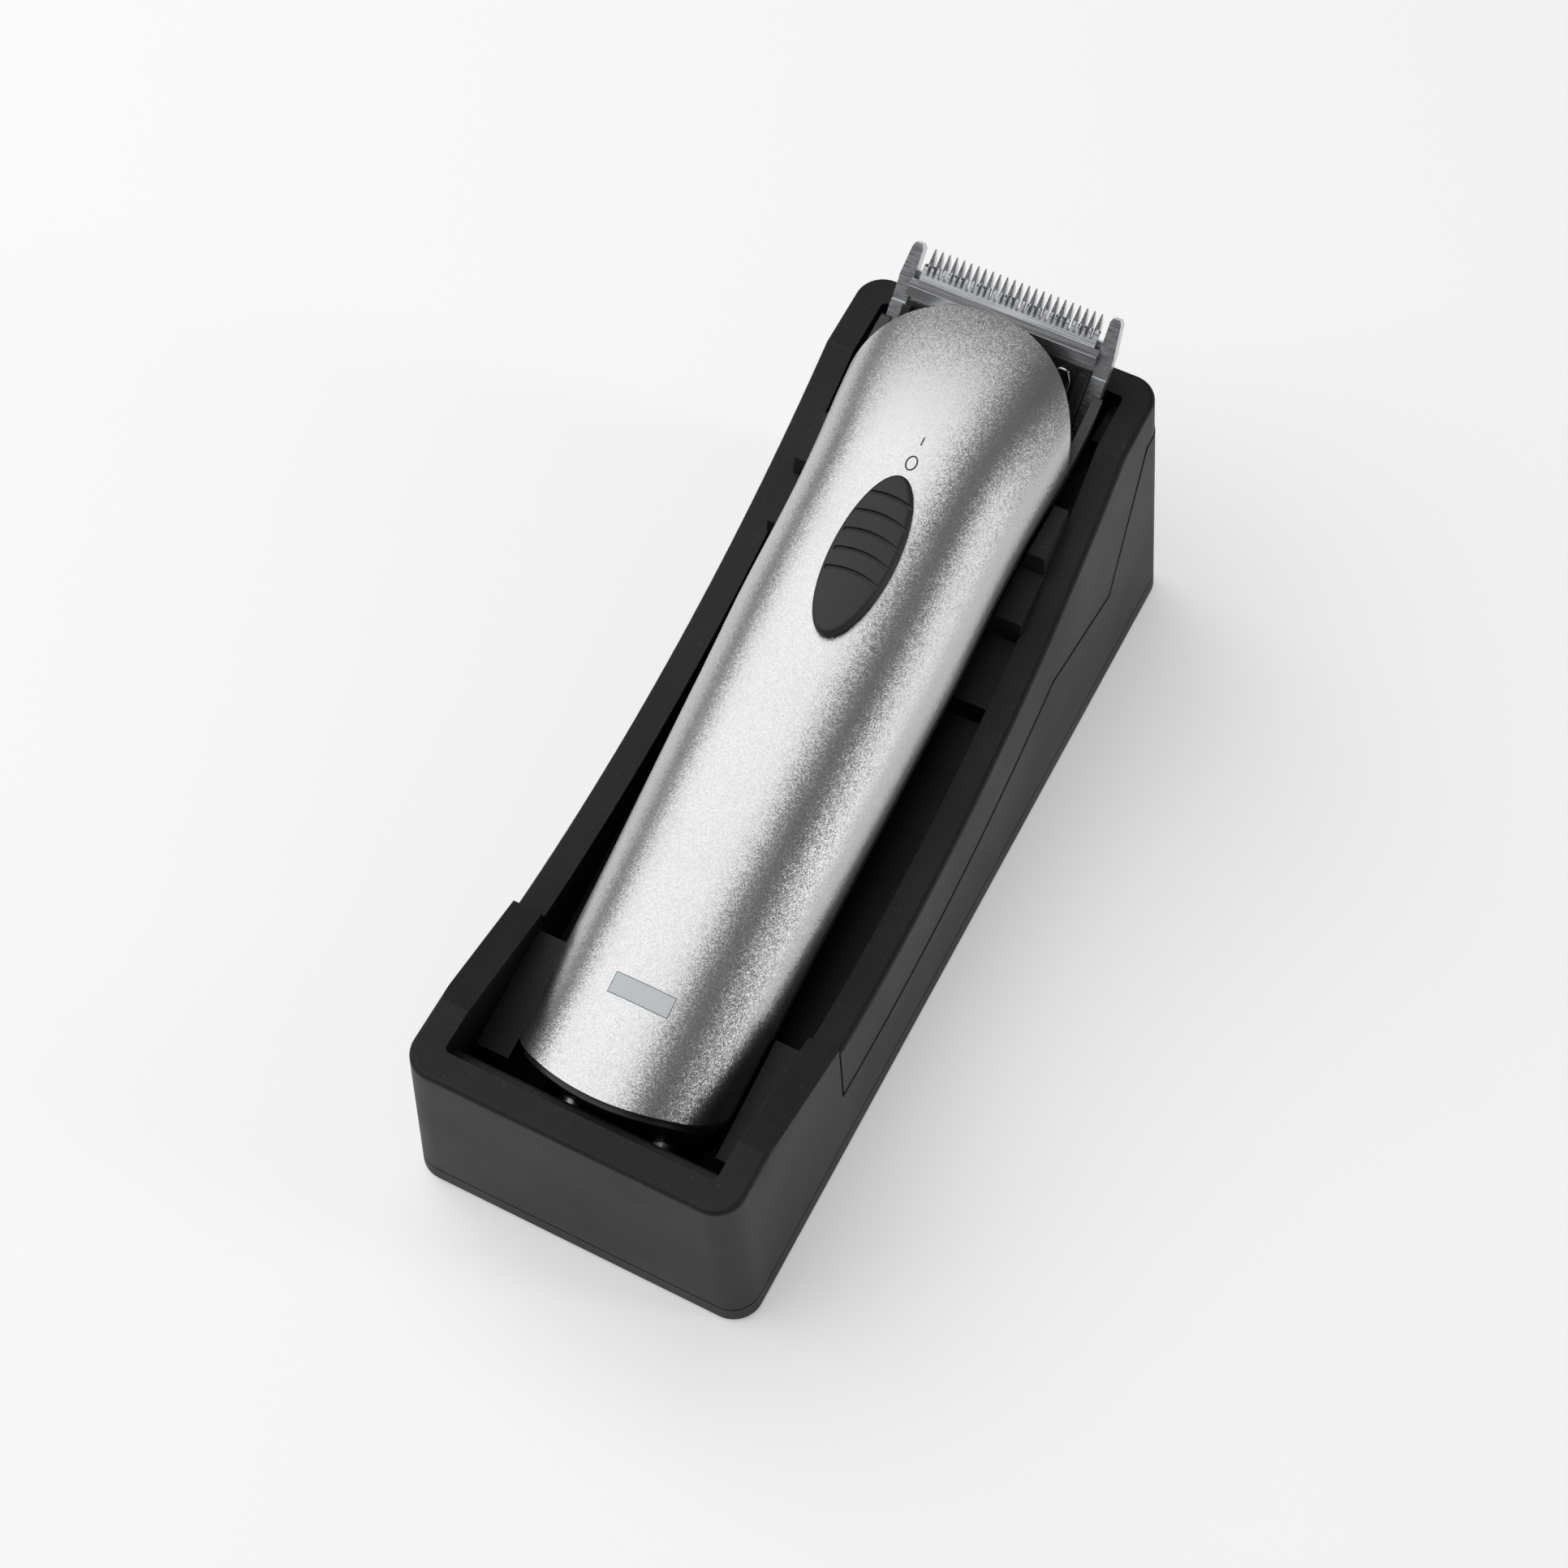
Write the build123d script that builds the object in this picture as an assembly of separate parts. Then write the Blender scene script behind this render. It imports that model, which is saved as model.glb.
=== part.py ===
from build123d import *
import os
from math import copysign, cos, pi, sin, sqrt, tan

# Beard trimmer lying in its charging stand. Millimetres.
# World frame: +Z up, X across the stand, +Y from the stand's front wall to the blade end.
# Origin: centre of the stand's footprint, on the surface it stands on.

# ---------------------------------------------------------------- stand, driving sizes
stand_length = 165.0
stand_width = 62.0
side_draft = 0.059          # how far each side wall leans in, per millimetre of height
front_draft = 0.005
rear_draft = 0.118
stand_corner = 5.0
rim_width = 5.2             # width of the rim and of the cradle's rails
skirt_wall = 2.2            # wall of the housing where the cradle hides it
front_rim_z = 41.7
front_flat = 12.8           # level stretch of the rim, from the front wall
notch_y = 35.6              # where the front rim ends and the cradle's rails start
notch_z = 35.8
rail_low_y = 52.0           # lowest place of the rails
rail_low_z = 32.8
rail_radius = 160.0
kink_y = 141.5              # where the rails stop rising
rear_top_z = 62.0
skirt_rear_z = 52.0         # top of the housing's rear wall
panel_drop = 13.6           # depth of the cradle's side panel under the rail
lobe_y = 138.6              # deepest place of the side panel's rear lobe
lobe_z = 26.2
lobe_start_y = 115.0
seam_gap = 0.35             # gap at every visible seam of the stand
base_seam_z = 5.0           # top of the bottom plate
plate_wall = 2.0
foot_radius = 4.5
foot_height = 1.6
plate_clearance = 0.8       # the bottom plate's height above the surface
ledge_y = 6.9               # cross bar behind the front rim
ledge_depth = 2.3
ledge_drop = 6.7
shelf_width = 10.0          # sloping shelves beside and under the trimmer's tail
shelf_front_z = 27.5
shelf_rear_z = 31.5
deck_z = 9.0                # floor of the front well
tray_gap = 1.6              # cradle floor below the trimmer's underside
tray_thickness = 2.0
rear_rim = 4.6              # width of the cradle's rim over the rear wall
saddle_places = (52.0, 96.0)    # ribs under the trimmer, from the front edge
side_steps = ((100.0, 112.0, 5.0), (112.0, 121.0, 10.5), (121.0, 130.0, 15.0))
side_step_width = 10.0
saddle_half = 15.0          # the ribs end under the trimmer's flanks
boss_radius = 3.2
inlet_half = 4.6
inlet_z = 13.5
inlet_bore = 2.9
inlet_length = 12.0
block_half = 11.0           # block that guides the charging pins
block_front = 22.5
block_rear = 34.0
block_top = 12.4
board_z = 4.1               # underside of the stand's circuit board
board_lift_radius = 2.0     # pads that carry it

# ---------------------------------------------------------------- trimmer, driving sizes
pitch = 15.5                # slope of the trimmer in its cradle, degrees
tail_y = 13.1               # place of the trimmer's own origin: its axis at the tail
tail_z = 26.95
crown = 15.0                # axis to the top of the cover
belly = 15.0                # axis to the underside
section_power = 2.3         # exponent of the rounded cross-section
nose_start = 112.0          # where the crown begins to bend down towards the blade
nose_radius = 100.0
tail_half = 17.9            # half width at the tail
waist_gain = 1.2            # widening from the tail to the waist
waist_start = 15.0
waist_length = 80.0
flare_gain = 1.2            # widening of the head
flare_start = 110.0
flare_length = 18.0
loft_start = -3.0
loft_step = 15.7
loft_sections = 11
cover_wall = 1.6
housing_wall = 1.8
parting_gap = 0.12
tail_radius = 37.7          # plan curve of the tail
tail_corner = 6.0
tail_cap_lip = 0.8          # how far the tail cap stands out behind the cover
head_radius = 20.6          # plan curve of the cover's head end
head_centre = 122.2
fit = 0.10                  # clearance of pieces that slide or seat in each other
tail_cap_depth = 2.4
tail_screw_x = 8.0
tail_screw_n = -8.5
tail_head_s = 0.6           # where the screw heads bear
frame_tail = 4.6            # end rib of the inner frame
frame_ribs = (22.0, 60.0, 76.5, 104.0)
shroud_n = 4.3              # lower edges of the wall under the cover's round end
shroud_middle_n = 6.8

# blade set, in a frame whose +Y runs along the blade towards the tips
tip_s = 151.2               # tooth tips, along the trimmer's axis
tip_n = 6.3                 # tooth tips, above the trimmer's axis
blade_slope = 34.5          # blade's slope against the trimmer's axis, degrees
comb_teeth = 24
comb_pitch = 1.31
comb_thickness = 1.4
comb_tooth = 4.3
comb_heel = 21.0
guard_inner = 16.9
guard_outer = 18.8
arm_outer = 19.5
guard_length = 6.0
band_length = 4.0
arm_top = 1.0
cutter_teeth = 30
cutter_pitch = 1.02
cutter_tip = 2.7            # cutter's teeth behind the comb's tips
cutter_tooth = 1.6
cutter_half = 15.9
cutter_flat = 1.2           # thickness of the toothed zone
ridge_half = 17.0
ridge_start = 5.4
ridge_height = 2.7
ridge_rear = 8.2
cutter_stroke = 0.8         # to each side of the middle
blade_screw_x = 7.9
blade_screw_y = -16.0
spring_x = 12.6
spring_wire = 0.4

# switch
button_length = 29.0
button_width = 10.8
button_middle = 94.6
button_rise = 1.9
button_grooves = 5
groove_pitch = 3.45
switch_travel = 4.2

# drive and power
window_length = 3.5
window_width = 10.4
window_middle = 17.2
battery_radius = 9.1
battery_length = 65.0
battery_start = 9.0
battery_n = -2.6
board_n = 8.0
board_thickness = 1.2
board_half = 11.0
motor_start = 82.0
motor_length = 27.0
motor_radius = 10.0
motor_half_height = 7.6
motor_n = 0.0               # motor axis above the trimmer's axis
motor_cap = 4.0
bulkhead_s = 112.0
bulkhead_thickness = 2.0
shaft_radius = 1.0
cam_start = 114.6
cam_length = 3.6
cam_radius = 3.6
pin_radius = 0.9            # the cam's offset pin
drive_pin_length = 5.2
contact_s = 11.0            # charging contacts, along the axis and to each side
contact_x = 6.0
contact_depth = 15.1        # their face below the axis
contact_pin_radius = 1.0
contact_pin_clearance = 0.05
pin_gap = 0.15              # gap between a pin's tip and its contact
pin_flange = 1.6
pin_shoulder = 1.0

half_length = stand_length / 2


# ---------------------------------------------------------------- helpers
def write(name, shape):
    """Save one node as a STEP file of its separate solids."""
    solids = shape.solids()
    body = solids[0] if len(solids) == 1 else Compound(children=list(solids))
    export_step(body, f"parts/{name}.step")


def box(x0, x1, y0, y1, z0, z1):
    """Box between two corners."""
    size = Box(x1 - x0, y1 - y0, z1 - z0)
    return Pos((x0 + x1) / 2, (y0 + y1) / 2, (z0 + z1) / 2) * size


def rod(radius, length, place=(0, 0, 0), turn=(0, 0, 0)):
    """Cylinder standing on its own base at a place, along +Z before it is turned."""
    stand = Cylinder(radius, length, align=(Align.CENTER, Align.CENTER, Align.MIN))
    return Pos(*place) * Rot(*turn) * stand


def polygon_prism(points, half_width):
    """Straight-sided outline in the Y-Z plane, extruded to both sides of the middle."""
    face = make_face(Plane.YZ * Polyline(*points, close=True))
    return extrude(face, amount=half_width, both=True)


def flat_polygon(points, z0, z1):
    """Straight-sided outline in the X-Y plane, extruded from z0 to z1."""
    face = make_face(Plane.XY.offset(z0) * Polyline(*points, close=True))
    return extrude(face, amount=z1 - z0, dir=(0, 0, 1))


def joined(shapes):
    """Fuse a list of shapes into one."""
    total = shapes[0]
    for shape in shapes[1:]:
        total = total + shape
    return total


def mirrored(shape):
    """A shape and its mirror image across the middle plane, as one."""
    return shape + mirror(shape, about=Plane.YZ)


# ---------------------------------------------------------------- frames
def stand_y(y):
    """Y in the world frame of a distance measured from the stand's front edge."""
    return y - half_length


trimmer_place = Pos(0, stand_y(tail_y), tail_z) * Rot(pitch, 0, 0)
blade_local = Pos(0, tip_s, tip_n) * Rot(blade_slope, 0, 0)
blade_place = trimmer_place * blade_local


def trimmer_point(s, n):
    """World Y and Z of a point s along the trimmer's axis and n above it."""
    angle = pitch * pi / 180
    y = stand_y(tail_y) + s * cos(angle) - n * sin(angle)
    z = tail_z + s * sin(angle) + n * cos(angle)
    return y, z


# ---------------------------------------------------------------- stand shapes
def wall_half(z, inset=0.0):
    """Half width between the stand's side walls at height z."""
    return stand_width / 2 - side_draft * z - inset


def stand_outline(z, inset):
    """Rounded rectangle of the stand's walls at height z, drawn in by an inset."""
    front = stand_y(front_draft * z + inset)
    rear = stand_y(stand_length - rear_draft * z - inset)
    corner = max(stand_corner - inset, 0.9)
    outline = RectangleRounded(2 * wall_half(z, inset), rear - front, corner)
    return Pos(0, (front + rear) / 2, z) * outline


def stand_block(z0, z1, inset=0.0):
    """Tapered block between two heights, with the stand's drafts and corners."""
    return loft([stand_outline(z0, inset).face(), stand_outline(z1, inset).face()])


def rail_z(y):
    """Height of the cradle's rails at a distance from the stand's front edge."""
    return rail_low_z + rail_radius - sqrt(rail_radius ** 2 - (y - rail_low_y) ** 2)


def rail_outline(drop, y0, y1):
    """Arc along the rails, lowered by a drop, between two distances."""
    centre = rail_low_z + rail_radius
    radius = rail_radius + drop
    middle = (y0 + y1) / 2

    def height(y):
        return centre - sqrt(radius ** 2 - (y - rail_low_y) ** 2)

    ends = [(stand_y(y), height(y)) for y in (y0, middle, y1)]
    return ThreePointArc(*ends), ends[0], ends[2]


def above_rails():
    """Everything above the rails and behind the notch."""
    arc, first, last = rail_outline(0, notch_y, kink_y)
    rear = stand_y(stand_length + 5)
    rest = Polyline(last, (rear, rear_top_z + 0.6), (rear, 90), (first[0], 90), first)
    face = make_face(Plane.YZ * (arc + rest))
    return extrude(face, amount=stand_width, both=True)


def above_front_rim():
    """Everything above the front rim, from the front wall to the notch."""
    points = [(stand_y(-5), front_rim_z), (stand_y(front_flat), front_rim_z),
              (stand_y(notch_y), notch_z), (stand_y(notch_y), 90), (stand_y(-5), 90)]
    return polygon_prism(points, stand_width)


def panel_region(gap):
    """Everything above the seam under the cradle's side panels, grown by a gap."""
    drop = panel_drop + gap
    arc, first, last = rail_outline(drop, notch_y - gap, lobe_start_y)
    rear = stand_y(stand_length + 5)
    rest = Polyline(last,
                    (stand_y(lobe_y), lobe_z - gap),
                    (stand_y(stand_length - 13.5 + gap), skirt_rear_z - gap),
                    (rear, skirt_rear_z - gap),
                    (rear, 95), (first[0], 95), first)
    face = make_face(Plane.YZ * (arc + rest))
    return extrude(face, amount=stand_width, both=True)


def tray_line(y, offset=0.0):
    """Height of the cradle's floor at a distance from the front edge."""
    base = trimmer_point(0, -belly)
    return base[1] + (stand_y(y) - base[0]) * tan(pitch * pi / 180) - tray_gap + offset


def above_line(y0, y1, offset, half):
    """Everything above the cradle's floor line between two distances."""
    points = [(stand_y(y0), tray_line(y0, offset)), (stand_y(y1), tray_line(y1, offset)),
              (stand_y(y1), 100), (stand_y(y0), 100)]
    return polygon_prism(points, half)


# ---------------------------------------------------------------- trimmer shapes
def nose_drop(s):
    """How far the crown has bent down at a distance along the axis."""
    if s <= nose_start:
        return 0.0
    return (s - nose_start) ** 2 / (2 * nose_radius)


def smooth_rise(value):
    """Smooth step from 0 to 1 over the unit interval."""
    t = min(max(value, 0.0), 1.0)
    return t * t * (3 - 2 * t)


def body_half(s):
    """Half width of the trimmer's body at a distance along its axis."""
    waist = waist_gain * smooth_rise((s - waist_start) / waist_length)
    flare = flare_gain * smooth_rise((s - flare_start) / flare_length)
    return tail_half + waist + flare


def body_section(s, half_width, grow):
    """Closed rounded section of the trimmer's body across its axis."""
    count = 28
    points = []
    for i in range(count):
        angle = 2 * pi * i / count
        c = cos(angle)
        t = sin(angle)
        height = (crown - nose_drop(s) if t > 0 else belly) + grow
        x = copysign(abs(c) ** (2 / section_power), c) * (half_width + grow)
        n = copysign(abs(t) ** (2 / section_power), t) * height
        points.append((x, s, n))
    return Face(Wire([Edge.make_spline([Vector(*p) for p in points], periodic=True)]))


def trimmer_body(grow=0.0):
    """The trimmer's outer form, grown or shrunk by a distance, past both ends."""
    stations = [loft_start + i * loft_step for i in range(loft_sections)]
    return Solid.make_loft([body_section(s, body_half(s), grow).outer_wire() for s in stations])


def tail_plan(lip):
    """Plan prism that starts at the tail's curve; lip moves the curve backwards."""
    side = tail_half + min(lip, 0)
    bulge = tail_radius - sqrt(tail_radius ** 2 - side ** 2)
    reach = 2 * tail_corner + bulge
    arc = ThreePointArc((-side, bulge - lip), (0, -lip), (side, bulge - lip))
    rest = Polyline((side, bulge - lip), (side, reach), (-side, reach),
                    (-side, bulge - lip))
    prism = extrude(Plane.XY.offset(-30) * make_face(arc + rest), amount=60)
    corners = prism.edges().filter_by(Axis.Z).sort_by(Axis.Y)[:2]
    rounded = fillet(corners, tail_corner)
    return rounded + box(-40, 40, reach - 1, 200, -30, 30)


def head_plan(radius):
    """Plan prism that ends in the head's round."""
    stem = box(-radius, radius, -20, head_centre, -30, 30)
    return stem + rod(radius, 60, (0, head_centre, -30))


# ---------------------------------------------------------------- stand parts
def stand_housing():
    """Outer skirt with the front rim, the front well and the rear wall."""
    shell = stand_block(base_seam_z + seam_gap, 46.0)
    shell += stand_block(45.9, 60.0)
    shell -= above_front_rim()
    shell -= panel_region(seam_gap)
    edges = shell.edges().filter_by(lambda e: abs(e.center().Z - front_rim_z) < 0.01)
    shell = fillet(edges, 0.9)
    notch = stand_y(notch_y)
    hollow = stand_block(base_seam_z - 1, 70, skirt_wall)
    behind = box(-60, 60, notch, 200, -5, 80)
    well = stand_block(deck_z, 60, rim_width) & box(-60, 60, -200, notch + 1, -5, 80)
    below_deck = stand_block(base_seam_z - 1, deck_z - 2.0, skirt_wall)
    shell -= (hollow & behind)
    shell -= (below_deck & box(-60, 60, -200, notch, -5, 80))
    shell -= well
    front_inner = wall_half(shelf_front_z, rim_width)
    shelf = polygon_prism([(stand_y(14.0), deck_z), (notch - 1.2, deck_z),
                           (notch - 1.2, shelf_rear_z), (stand_y(14.0), shelf_front_z)],
                          front_inner + 2.0)
    shelf &= stand_block(deck_z, 50, rim_width - 0.4)
    shelf -= box(-front_inner + shelf_width, front_inner - shelf_width, -90, 0, 0, 60)
    shelf -= trimmer_place * trimmer_body(0.5)
    bar = box(-60, 60, stand_y(ledge_y), stand_y(ledge_y + ledge_depth),
              deck_z, front_rim_z - ledge_drop)
    bar &= stand_block(deck_z, 50, rim_width - 0.4)
    top = bar.edges().filter_by(Axis.X).sort_by(Axis.Z)[-2:]
    bar = fillet(top, 0.7)
    block_room = contact_block_outline(0.15)
    inlet_room = box(-inlet_half - fit, inlet_half + fit, stand_y(130), stand_y(stand_length),
                     base_seam_z, inlet_z + inlet_half + fit)
    rear_inner = stand_y(stand_length - rear_draft * inlet_z - skirt_wall)
    mouth = rod(inlet_bore + 0.6, 20, (0, rear_inner - 5, inlet_z), (-90, 0, 0))
    housing = shell + shelf + bar - block_room - (inlet_room & hollow) - mouth
    for x, y in screw_places():
        housing += rod(boss_radius, 6.5, (x, y, base_seam_z + seam_gap))
        housing -= rod(1.4 + fit, 12, (x, y, 0))
    return housing


def cradle_insert():
    """Rails, side panels and sloping floor that carry the trimmer."""
    block = stand_block(12.0, 66.0, 0.12)
    block &= panel_region(0)
    block -= above_rails()
    block -= box(-60, 60, -200, stand_y(notch_y + seam_gap), -5, 90)
    rim = block.edges().filter_by(lambda e: is_rail_edge(e))
    block = fillet(rim, 0.9)
    notch = stand_y(notch_y)
    rear_inner = stand_length - rear_draft * rear_top_z - rear_rim
    well = stand_block(8.0, 80, rim_width) & box(-60, 60, -200, stand_y(rear_inner), -5, 90)
    block -= well
    floor = stand_block(8.0, 60, skirt_wall + 0.3)
    floor &= above_line(notch_y + seam_gap, rear_inner + 0.5, -tray_thickness, 60)
    floor -= above_line(notch_y - 5, rear_inner + 5, 0, 60)
    wall = stand_block(12.0, 60, skirt_wall + 0.3) - stand_block(8.0, 80, rim_width)
    wall &= above_line(notch_y + seam_gap, rear_inner + 0.5, -tray_thickness, 60)
    wall -= panel_region(-2.0)
    wall -= above_rails()
    wall &= box(-60, 60, notch + seam_gap, stand_y(rear_inner), 0, 60)
    saddles = joined([cradle_rib(y) for y in saddle_places])
    steps = joined([mirrored(side_step(y0, y1, rise)) for y0, y1, rise in side_steps])
    corner = mirrored(corner_block(rear_inner))
    inside = stand_block(8.0, 80, rim_width - 0.3)
    inside &= box(-60, 60, -200, stand_y(rear_inner + 0.3), -5, 90)
    inner = (saddles + steps + corner) & inside
    return block + floor + wall + inner


def is_rail_edge(edge):
    """True for the long top edges of the cradle, outside and at the rear."""
    centre = edge.center()
    on_top = centre.Z > rail_low_z - 2 and abs(centre.Z - top_height(centre.Y)) < 0.25
    return on_top and centre.Y > stand_y(notch_y + 1.5)


def top_height(y):
    """Height of the cradle's top edge at a world Y."""
    place = y + half_length
    if place <= kink_y:
        return rail_z(place)
    slope = (rear_top_z + 0.6 - rail_z(kink_y)) / (stand_length + 5 - kink_y)
    return rail_z(kink_y) + slope * (place - kink_y)


def cradle_rib(y):
    """Rib across the cradle's floor, hollowed to the trimmer's underside."""
    rib = box(-saddle_half, saddle_half, stand_y(y), stand_y(y + 3.0), 0, 60)
    rib &= above_line(y - 5, y + 10, -0.5, 60)
    rib -= above_line(y - 5, y + 10, 9.0, 60)
    return rib - trimmer_place * trimmer_body(0.35)


def side_step(y0, y1, rise):
    """Step that stands along the inside of a rail, over the cradle's floor."""
    step = above_line(y0, y1, -0.5, 60) - above_line(y0 - 1, y1 + 1, rise, 60)
    half = wall_half(tray_line(y0, rise), rim_width)
    step &= box(half - side_step_width, 60, -200, 200, 0, 90)
    return step - trimmer_place * trimmer_body(0.5)


def corner_block(rear_inner):
    """Raised block in a rear inner corner of the cradle."""
    half = wall_half(rear_top_z, rim_width)
    top = rear_top_z - 5.0
    return box(half - 2.1, 60, stand_y(rear_inner - 8.0), stand_y(rear_inner + 1), 30, top)


def contact_block_outline(grow):
    """Block that guides the charging pins, grown by a clearance."""
    return box(-block_half - grow, block_half + grow, stand_y(block_front) - grow,
               stand_y(block_rear) + grow, board_z, block_top + grow)


def stand_base_plate():
    """Shallow bottom tray, with foot recesses and screw holes."""
    bevel = 0.6
    plate = loft([stand_outline(plate_clearance, bevel).face(),
                  stand_outline(plate_clearance + bevel, 0).face()])
    plate += stand_block(plate_clearance + bevel, base_seam_z)
    plate -= stand_block(plate_clearance + plate_wall, base_seam_z + 1, skirt_wall)
    for x, y in foot_places():
        plate -= rod(foot_radius + fit, foot_height - plate_clearance + 0.2, (x, y, 0.8))
    for x, y in screw_places():
        plate += rod(3.4, base_seam_z - plate_clearance - 0.5, (x, y, plate_clearance + 0.4))
        plate -= rod(1.6, 10, (x, y, -1))
        plate -= rod(2.8, 2.2, (x, y, -0.2))
    inner_floor = plate_clearance + plate_wall
    for x in (-10, 10):
        for y in (stand_y(45), stand_y(stand_length - 35)):
            plate += rod(board_lift_radius, board_z - inner_floor + 0.2, (x, y, inner_floor - 0.2))
    return plate


def foot_places():
    """Centres of the four rubber feet."""
    x = stand_width / 2 - 10.0
    y = half_length - 12.0
    return [(sx * x, sy * y) for sx in (-1, 1) for sy in (-1, 1)]


def screw_places():
    """Centres of the four screws that hold the bottom plate."""
    x = stand_width / 2 - 5.6
    y = half_length - 26.0
    return [(sx * x, sy * y) for sx in (-1, 1) for sy in (-1, 1)]


def stand_feet():
    """Four rubber feet, seated in the bottom plate."""
    return joined([fillet(rod(foot_radius, foot_height, (x, y, 0)).edges()
                          .filter_by(GeomType.CIRCLE).sort_by(Axis.Z)[:1], 0.3)
                   for x, y in foot_places()])


def base_screws():
    """Four self-tapping screws from below."""
    shapes = []
    for x, y in screw_places():
        screw = rod(2.6, 1.2, (x, y, 0.8)) + rod(1.4, 9.0, (x, y, 1.9))
        screw -= box(x - 1.8, x + 1.8, y - 0.35, y + 0.35, 0.5, 1.4)
        screw -= box(x - 0.35, x + 0.35, y - 1.8, y + 1.8, 0.5, 1.4)
        shapes.append(screw)
    return joined(shapes)


def contact_block():
    """Plastic guide of the two sprung charging pins."""
    block = box(-block_half, block_half, stand_y(block_front), stand_y(block_rear),
                board_z + board_thickness, block_top)
    block = fillet(block.edges().filter_by(Axis.Z), 1.5)
    y, z = contact_place()
    for x in (-contact_x, contact_x):
        block -= rod(contact_pin_radius + contact_pin_clearance, 10, (x, y, block_top - 3))
        block -= rod(1.9, block_top - 2 - base_seam_z, (x, y, base_seam_z))
    return block


def contact_place():
    """World Y and Z of the trimmer's charging contacts, on their underside."""
    return trimmer_point(contact_s, -contact_depth)


def contact_pin(x):
    """Sprung pin with a rounded tip and a shoulder that the spring bears on."""
    y, z = contact_place()
    shoulder_top = block_top - 2.0 - fit
    tip = z - pin_gap - contact_pin_radius * 0.35
    pin = rod(contact_pin_radius, tip - shoulder_top, (x, y, shoulder_top))
    pin = fillet(pin.edges().filter_by(GeomType.CIRCLE).sort_by(Axis.Z)[-1:], 0.6)
    return pin + rod(pin_flange, pin_shoulder, (x, y, shoulder_top - pin_shoulder))


def pin_spring(x):
    """Small coil spring under a charging pin."""
    y = contact_place()[0]
    low = board_z + board_thickness
    high = block_top - 2.0 - fit - pin_shoulder
    wire = 0.2
    turns = 4
    path = Helix((high - low - 2 * wire) / turns, high - low - 2 * wire, 1.3)
    path = Pos(x, y, low + wire) * path
    start = Plane(path @ 0, z_dir=path % 0)
    return sweep(start * Circle(wire), path=path)


def charging_board():
    """Circuit board under the contact block and along the floor to the inlet."""
    top = board_z + board_thickness
    board = box(-14, 14, stand_y(20), stand_y(stand_length - 7), board_z, top)
    parts = [box(-9, -5, stand_y(60), stand_y(68), top, top + 2.2),
             box(2, 8, stand_y(80), stand_y(84), top, top + 1.4),
             rod(3.0, 5.5, (6, stand_y(110), top))]
    return joined([board] + parts)


def power_inlet():
    """Barrel socket for the low-voltage lead, in the rear wall."""
    front = inlet_face() - inlet_length
    z0 = board_z + board_thickness
    body = box(-inlet_half, inlet_half, front, inlet_face(), z0, inlet_z + inlet_half)
    body += rod(inlet_bore + 0.5, skirt_wall, (0, inlet_face(), inlet_z), (-90, 0, 0))
    return body - rod(inlet_bore, 20, (0, front + 2.0, inlet_z), (-90, 0, 0))


def inlet_face():
    """World Y of the socket's shoulder, just inside the housing's rear wall."""
    z = inlet_z + inlet_half
    return stand_y(stand_length - rear_draft * z - skirt_wall) - 0.2


def inlet_pin():
    """Metal centre pin of the socket."""
    front = inlet_face() - inlet_length + 2.0
    return rod(1.0, inlet_length - 3.0, (0, front, inlet_z), (-90, 0, 0))


# ---------------------------------------------------------------- trimmer parts
def behind_blade():
    """The body's side of the blade's slanted seat, with the chin below its heel."""
    seat = arm_top + fit + 0.05
    behind_heel = -comb_heel - 0.15
    chin = box(-60, 60, -200, behind_heel, -comb_thickness, 200)
    face = box(-60, 60, behind_heel - 0.1, 80, seat, 200)
    return blade_local * (chin + face)


def lower_housing(shell):
    """Black lower shell, cut at a slant for the blade set."""
    shell &= box(-60, 60, -20, 200, -60, -parting_gap / 2)
    shell &= tail_plan(0)
    shell &= behind_blade()
    for x in (-contact_x, contact_x):
        shell -= contact_strip(x, 0.05)
    return shell


def top_cover(shell):
    """Silver upper shell with the switch slot and the window opening."""
    shell &= box(-60, 60, -20, 200, parting_gap / 2, 60)
    shell &= tail_plan(0)
    shell &= head_plan(head_radius)
    slot = 3.4
    low = button_middle - 6.0
    high = button_middle + 6.0 + switch_travel
    shell -= box(-slot, slot, low, high, 5, 40)
    shell -= window_prism(0.0)
    return shell


def window_prism(inset):
    """Upright prism of the indicator window, drawn in by an inset."""
    half = window_width / 2 - inset
    low = window_middle - window_length / 2 + inset
    high = window_middle + window_length / 2 - inset
    return box(-half, half, low, high, 5, 40)


def indicator_window(outer):
    """Pale light guide, flush with the cover, with a flange under it."""
    lens = window_prism(0.08) & outer
    lens -= box(-60, 60, -20, 200, -60, board_n + board_thickness + 1.6)
    return lens


def tail_cap():
    """Plug that closes the tail between the two shells and stands out behind."""
    cap = trimmer_body(-housing_wall - fit) & tail_plan(tail_cap_lip)
    cap -= tail_plan(-tail_cap_depth)
    for x in (-tail_screw_x, tail_screw_x):
        cap -= rod(1.4, 30, (x, -8, tail_screw_n), (-90, 0, 0))
        cap -= rod(2.5, 30, (x, tail_head_s - 30, tail_screw_n), (-90, 0, 0))
    return cap


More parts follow.
